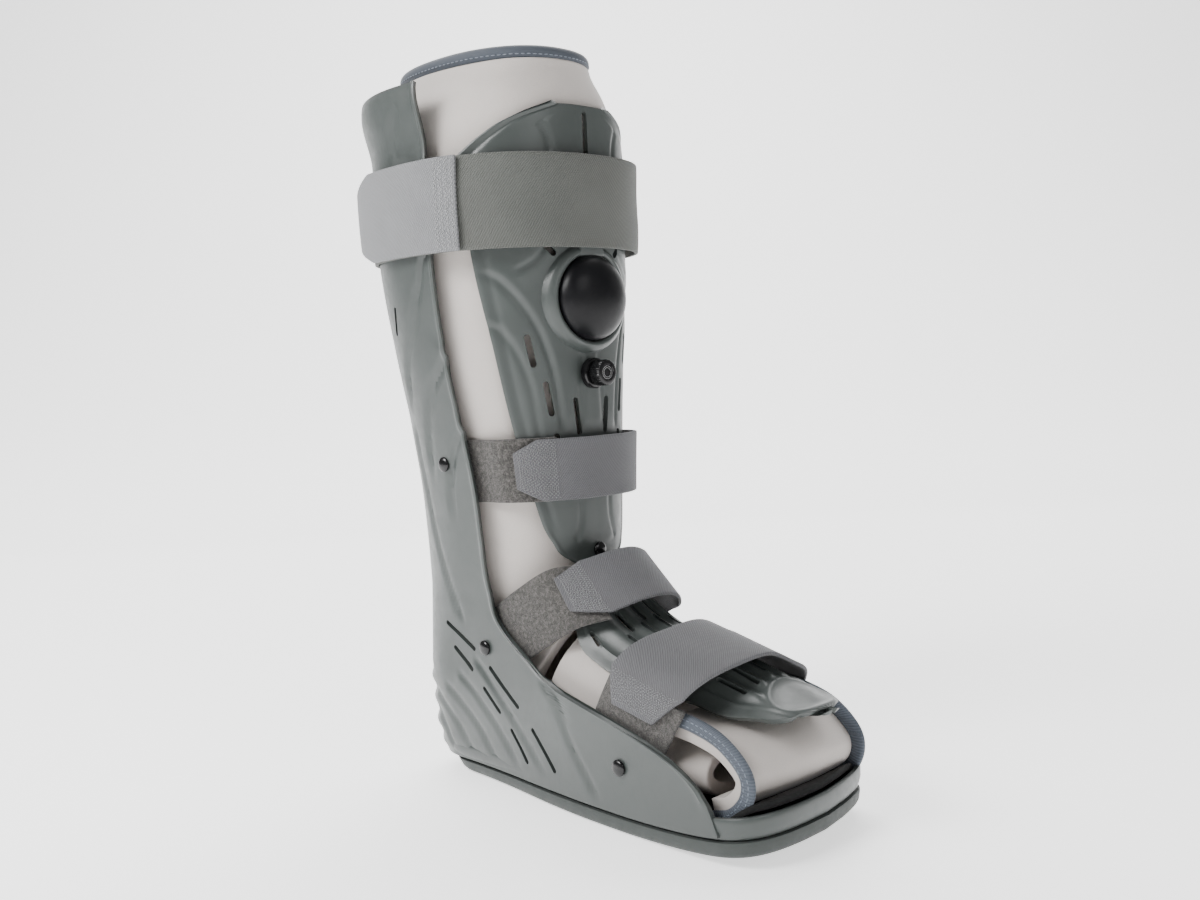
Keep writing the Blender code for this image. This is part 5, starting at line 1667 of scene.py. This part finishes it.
def saddle(path, width, steps, lines, tip=0.0, tip_share=0.06):
    """A strap along a path: rows across its width, stations along its run."""
    at = spline(path, steps)
    across = unit(np.stack([np.zeros(steps), at[:, 3], at[:, 4]], axis=-1))
    share = np.linspace(0.0, 1.0, steps)
    narrow = 1.0 - tip * (1.0 - np.clip(share / tip_share, 0.0, 1.0))
    v = np.linspace(-0.5, 0.5, lines)[:, None, None]
    return at[None, :, :3] + v * width * narrow[None, :, None] * across[None]


def make_foot_strap(name, rows, width, tab_row, centre, far_drop):
    near = real_path(rows, -1)
    far = [(x, y, z - far_drop * float(ease(x / (0.3 * FOOT_LINER_WIDTH))), dy, dz)
           for x, y, z, dy, dz in real_path(rows, 1)]
    pad = saddle(near[: tab_row + 2], width * 1.06, 60, 21)
    strap_piece(name + "_pad", pad, PAD_THICK, FELT, "loop_felt", bevel=PAD_BEVEL)
    lifted = []
    for x, y, z, dy, dz in near[tab_row:] + far[::-1][1:]:
        outward = unit(np.array([x / FOOT_LINER_WIDTH, -0.55 * dz, 0.85 * dy]))
        shift = outward * (PAD_THICK + 1.8 * SKIN_GAP) * (1.0 - float(ease(x / (0.5 * FOOT_LINER_WIDTH))))
        lifted.append((*(np.array([x, y, z]) + shift), dy, dz))
    strap = saddle(lifted, width, 170, 25, tip=0.42, tip_share=0.11)
    strap_piece(name, strap, STRAP_THICK, WEBBING, "strap_webbing")
    outward = surface_normals(strap, lambda grid: np.broadcast_to(np.array(centre), grid.shape))
    sewn = strap + outward * (STRAP_THICK + THREAD_LIFT)
    stitched(name + "_stitches", diamond_rows(sewn[:, 3:21], 3), "strap_webbing", **HOOK_SEWING)


make_foot_strap("ankle_strap", ANKLE_PATH, ANKLE_STRAP_WIDTH, 3, (0.0, -0.03, 0.08), 0.0035)
make_foot_strap("forefoot_strap", FOREFOOT_PATH, FOREFOOT_STRAP_WIDTH, 2, (0.0, -0.13, 0.04), 0.0065)

# %% [markdown]
# The boot stands on a plain pale floor that curves up behind it. Soft lights give the even light of
# a studio: a key from the camera's left, a small one for the calf, one in front, one behind and one
# that washes the floor. The camera has the photograph's place and lens.

# %% Floor, lights and camera
WHITE = (1.0, 1.0, 1.0, 1.0)
YAW, PITCH, ROLL = math.radians(44.62), math.radians(3.28), math.radians(-2.82)
CAMERA_PLACE = (-0.5326, -0.6070, 0.2421)
SENSOR_WIDTH, LENS = 36.0, 39.6
# The floor's run away from the camera: distance and height in metres
FLOOR_LINE = [(-2.6, 0.0), (0.7, 0.0), (1.4, 0.03), (2.2, 0.22), (3.0, 0.75), (3.6, 1.7), (3.9, 3.4)]
FLOOR_SINK = 0.0002
# Lights: place, what it looks at, its size and its watts
LIGHTS = {
    "key": ((-1.5, 0.2, 1.5), (0, 0, 0.2), (0.8, 0.8), 34.0),
    "calf": ((-0.62, 0.25, 0.66), (0, 0, 0.38), (0.35, 0.35), 3.2),
    "front": ((-0.3, -1.8, 1.2), (0, 0, 0.15), (1.0, 0.8), 7.0),
    "back": ((0.5, 1.0, 1.8), (0, 0, 0.25), (1.6, 1.0), 10.0),
    "floor_wash": ((1.2, 1.2, 2.4), (1.3, 1.3, 0.0), (2.4, 2.4), 95.0),
}
WORLD_STRENGTH = 0.24


def plain_floor():
    line = spline(FLOOR_LINE, 60)
    line[:, 1] = np.maximum(line[:, 1], 0.0)
    away = np.array([math.sin(YAW), math.cos(YAW), 0.0])
    side = np.array([math.cos(YAW), -math.sin(YAW), 0.0])
    grid = np.array([[away * a + side * s + np.array([0, 0, h - FLOOR_SINK])
                      for s in np.linspace(-3.5, 3.5, 20)] for a, h in line])
    floor = grid_piece("floor", grid, uv=False)
    floor.data.shade_smooth()
    paper = new_finish("floor_paper", 0.9, Base_Color=(0.95, 0.95, 0.95, 1.0),
                       Emission_Color=WHITE, Emission_Strength=1.15)
    floor.data.materials.append(paper)


def soft_light(name, place, target, size, watts):
    data = bpy.data.lights.new(name, "AREA")
    data.shape = "RECTANGLE"
    data.size, data.size_y = size
    data.energy = watts
    lamp = add_object(name, data)
    lamp.location = place
    lamp.rotation_euler = (Vector(target) - Vector(place)).to_track_quat("-Z", "Y").to_euler()


def add_camera():
    ahead = Vector((math.sin(YAW) * math.cos(PITCH), math.cos(YAW) * math.cos(PITCH), -math.sin(PITCH)))
    right = Vector((math.cos(YAW), -math.sin(YAW), 0.0))
    up = right.cross(ahead)
    right, up = right * math.cos(ROLL) + up * math.sin(ROLL), up * math.cos(ROLL) - right * math.sin(ROLL)
    data = bpy.data.cameras.new("camera")
    data.sensor_width, data.lens = SENSOR_WIDTH, LENS
    data.clip_start = 0.01
    camera = add_object("camera", data)
    turn = Matrix((right, up, -ahead)).transposed().to_4x4()
    camera.matrix_world = Matrix.Translation(CAMERA_PLACE) @ turn
    bpy.context.scene.camera = camera


plain_floor()
for name, (place, target, size, watts) in LIGHTS.items():
    soft_light(name, place, target, size, watts)
add_camera()
world = bpy.data.worlds.new("studio")
world.use_nodes = True
world.node_tree.nodes["Background"].inputs["Color"].default_value = WHITE
world.node_tree.nodes["Background"].inputs["Strength"].default_value = WORLD_STRENGTH
bpy.context.scene.world = world
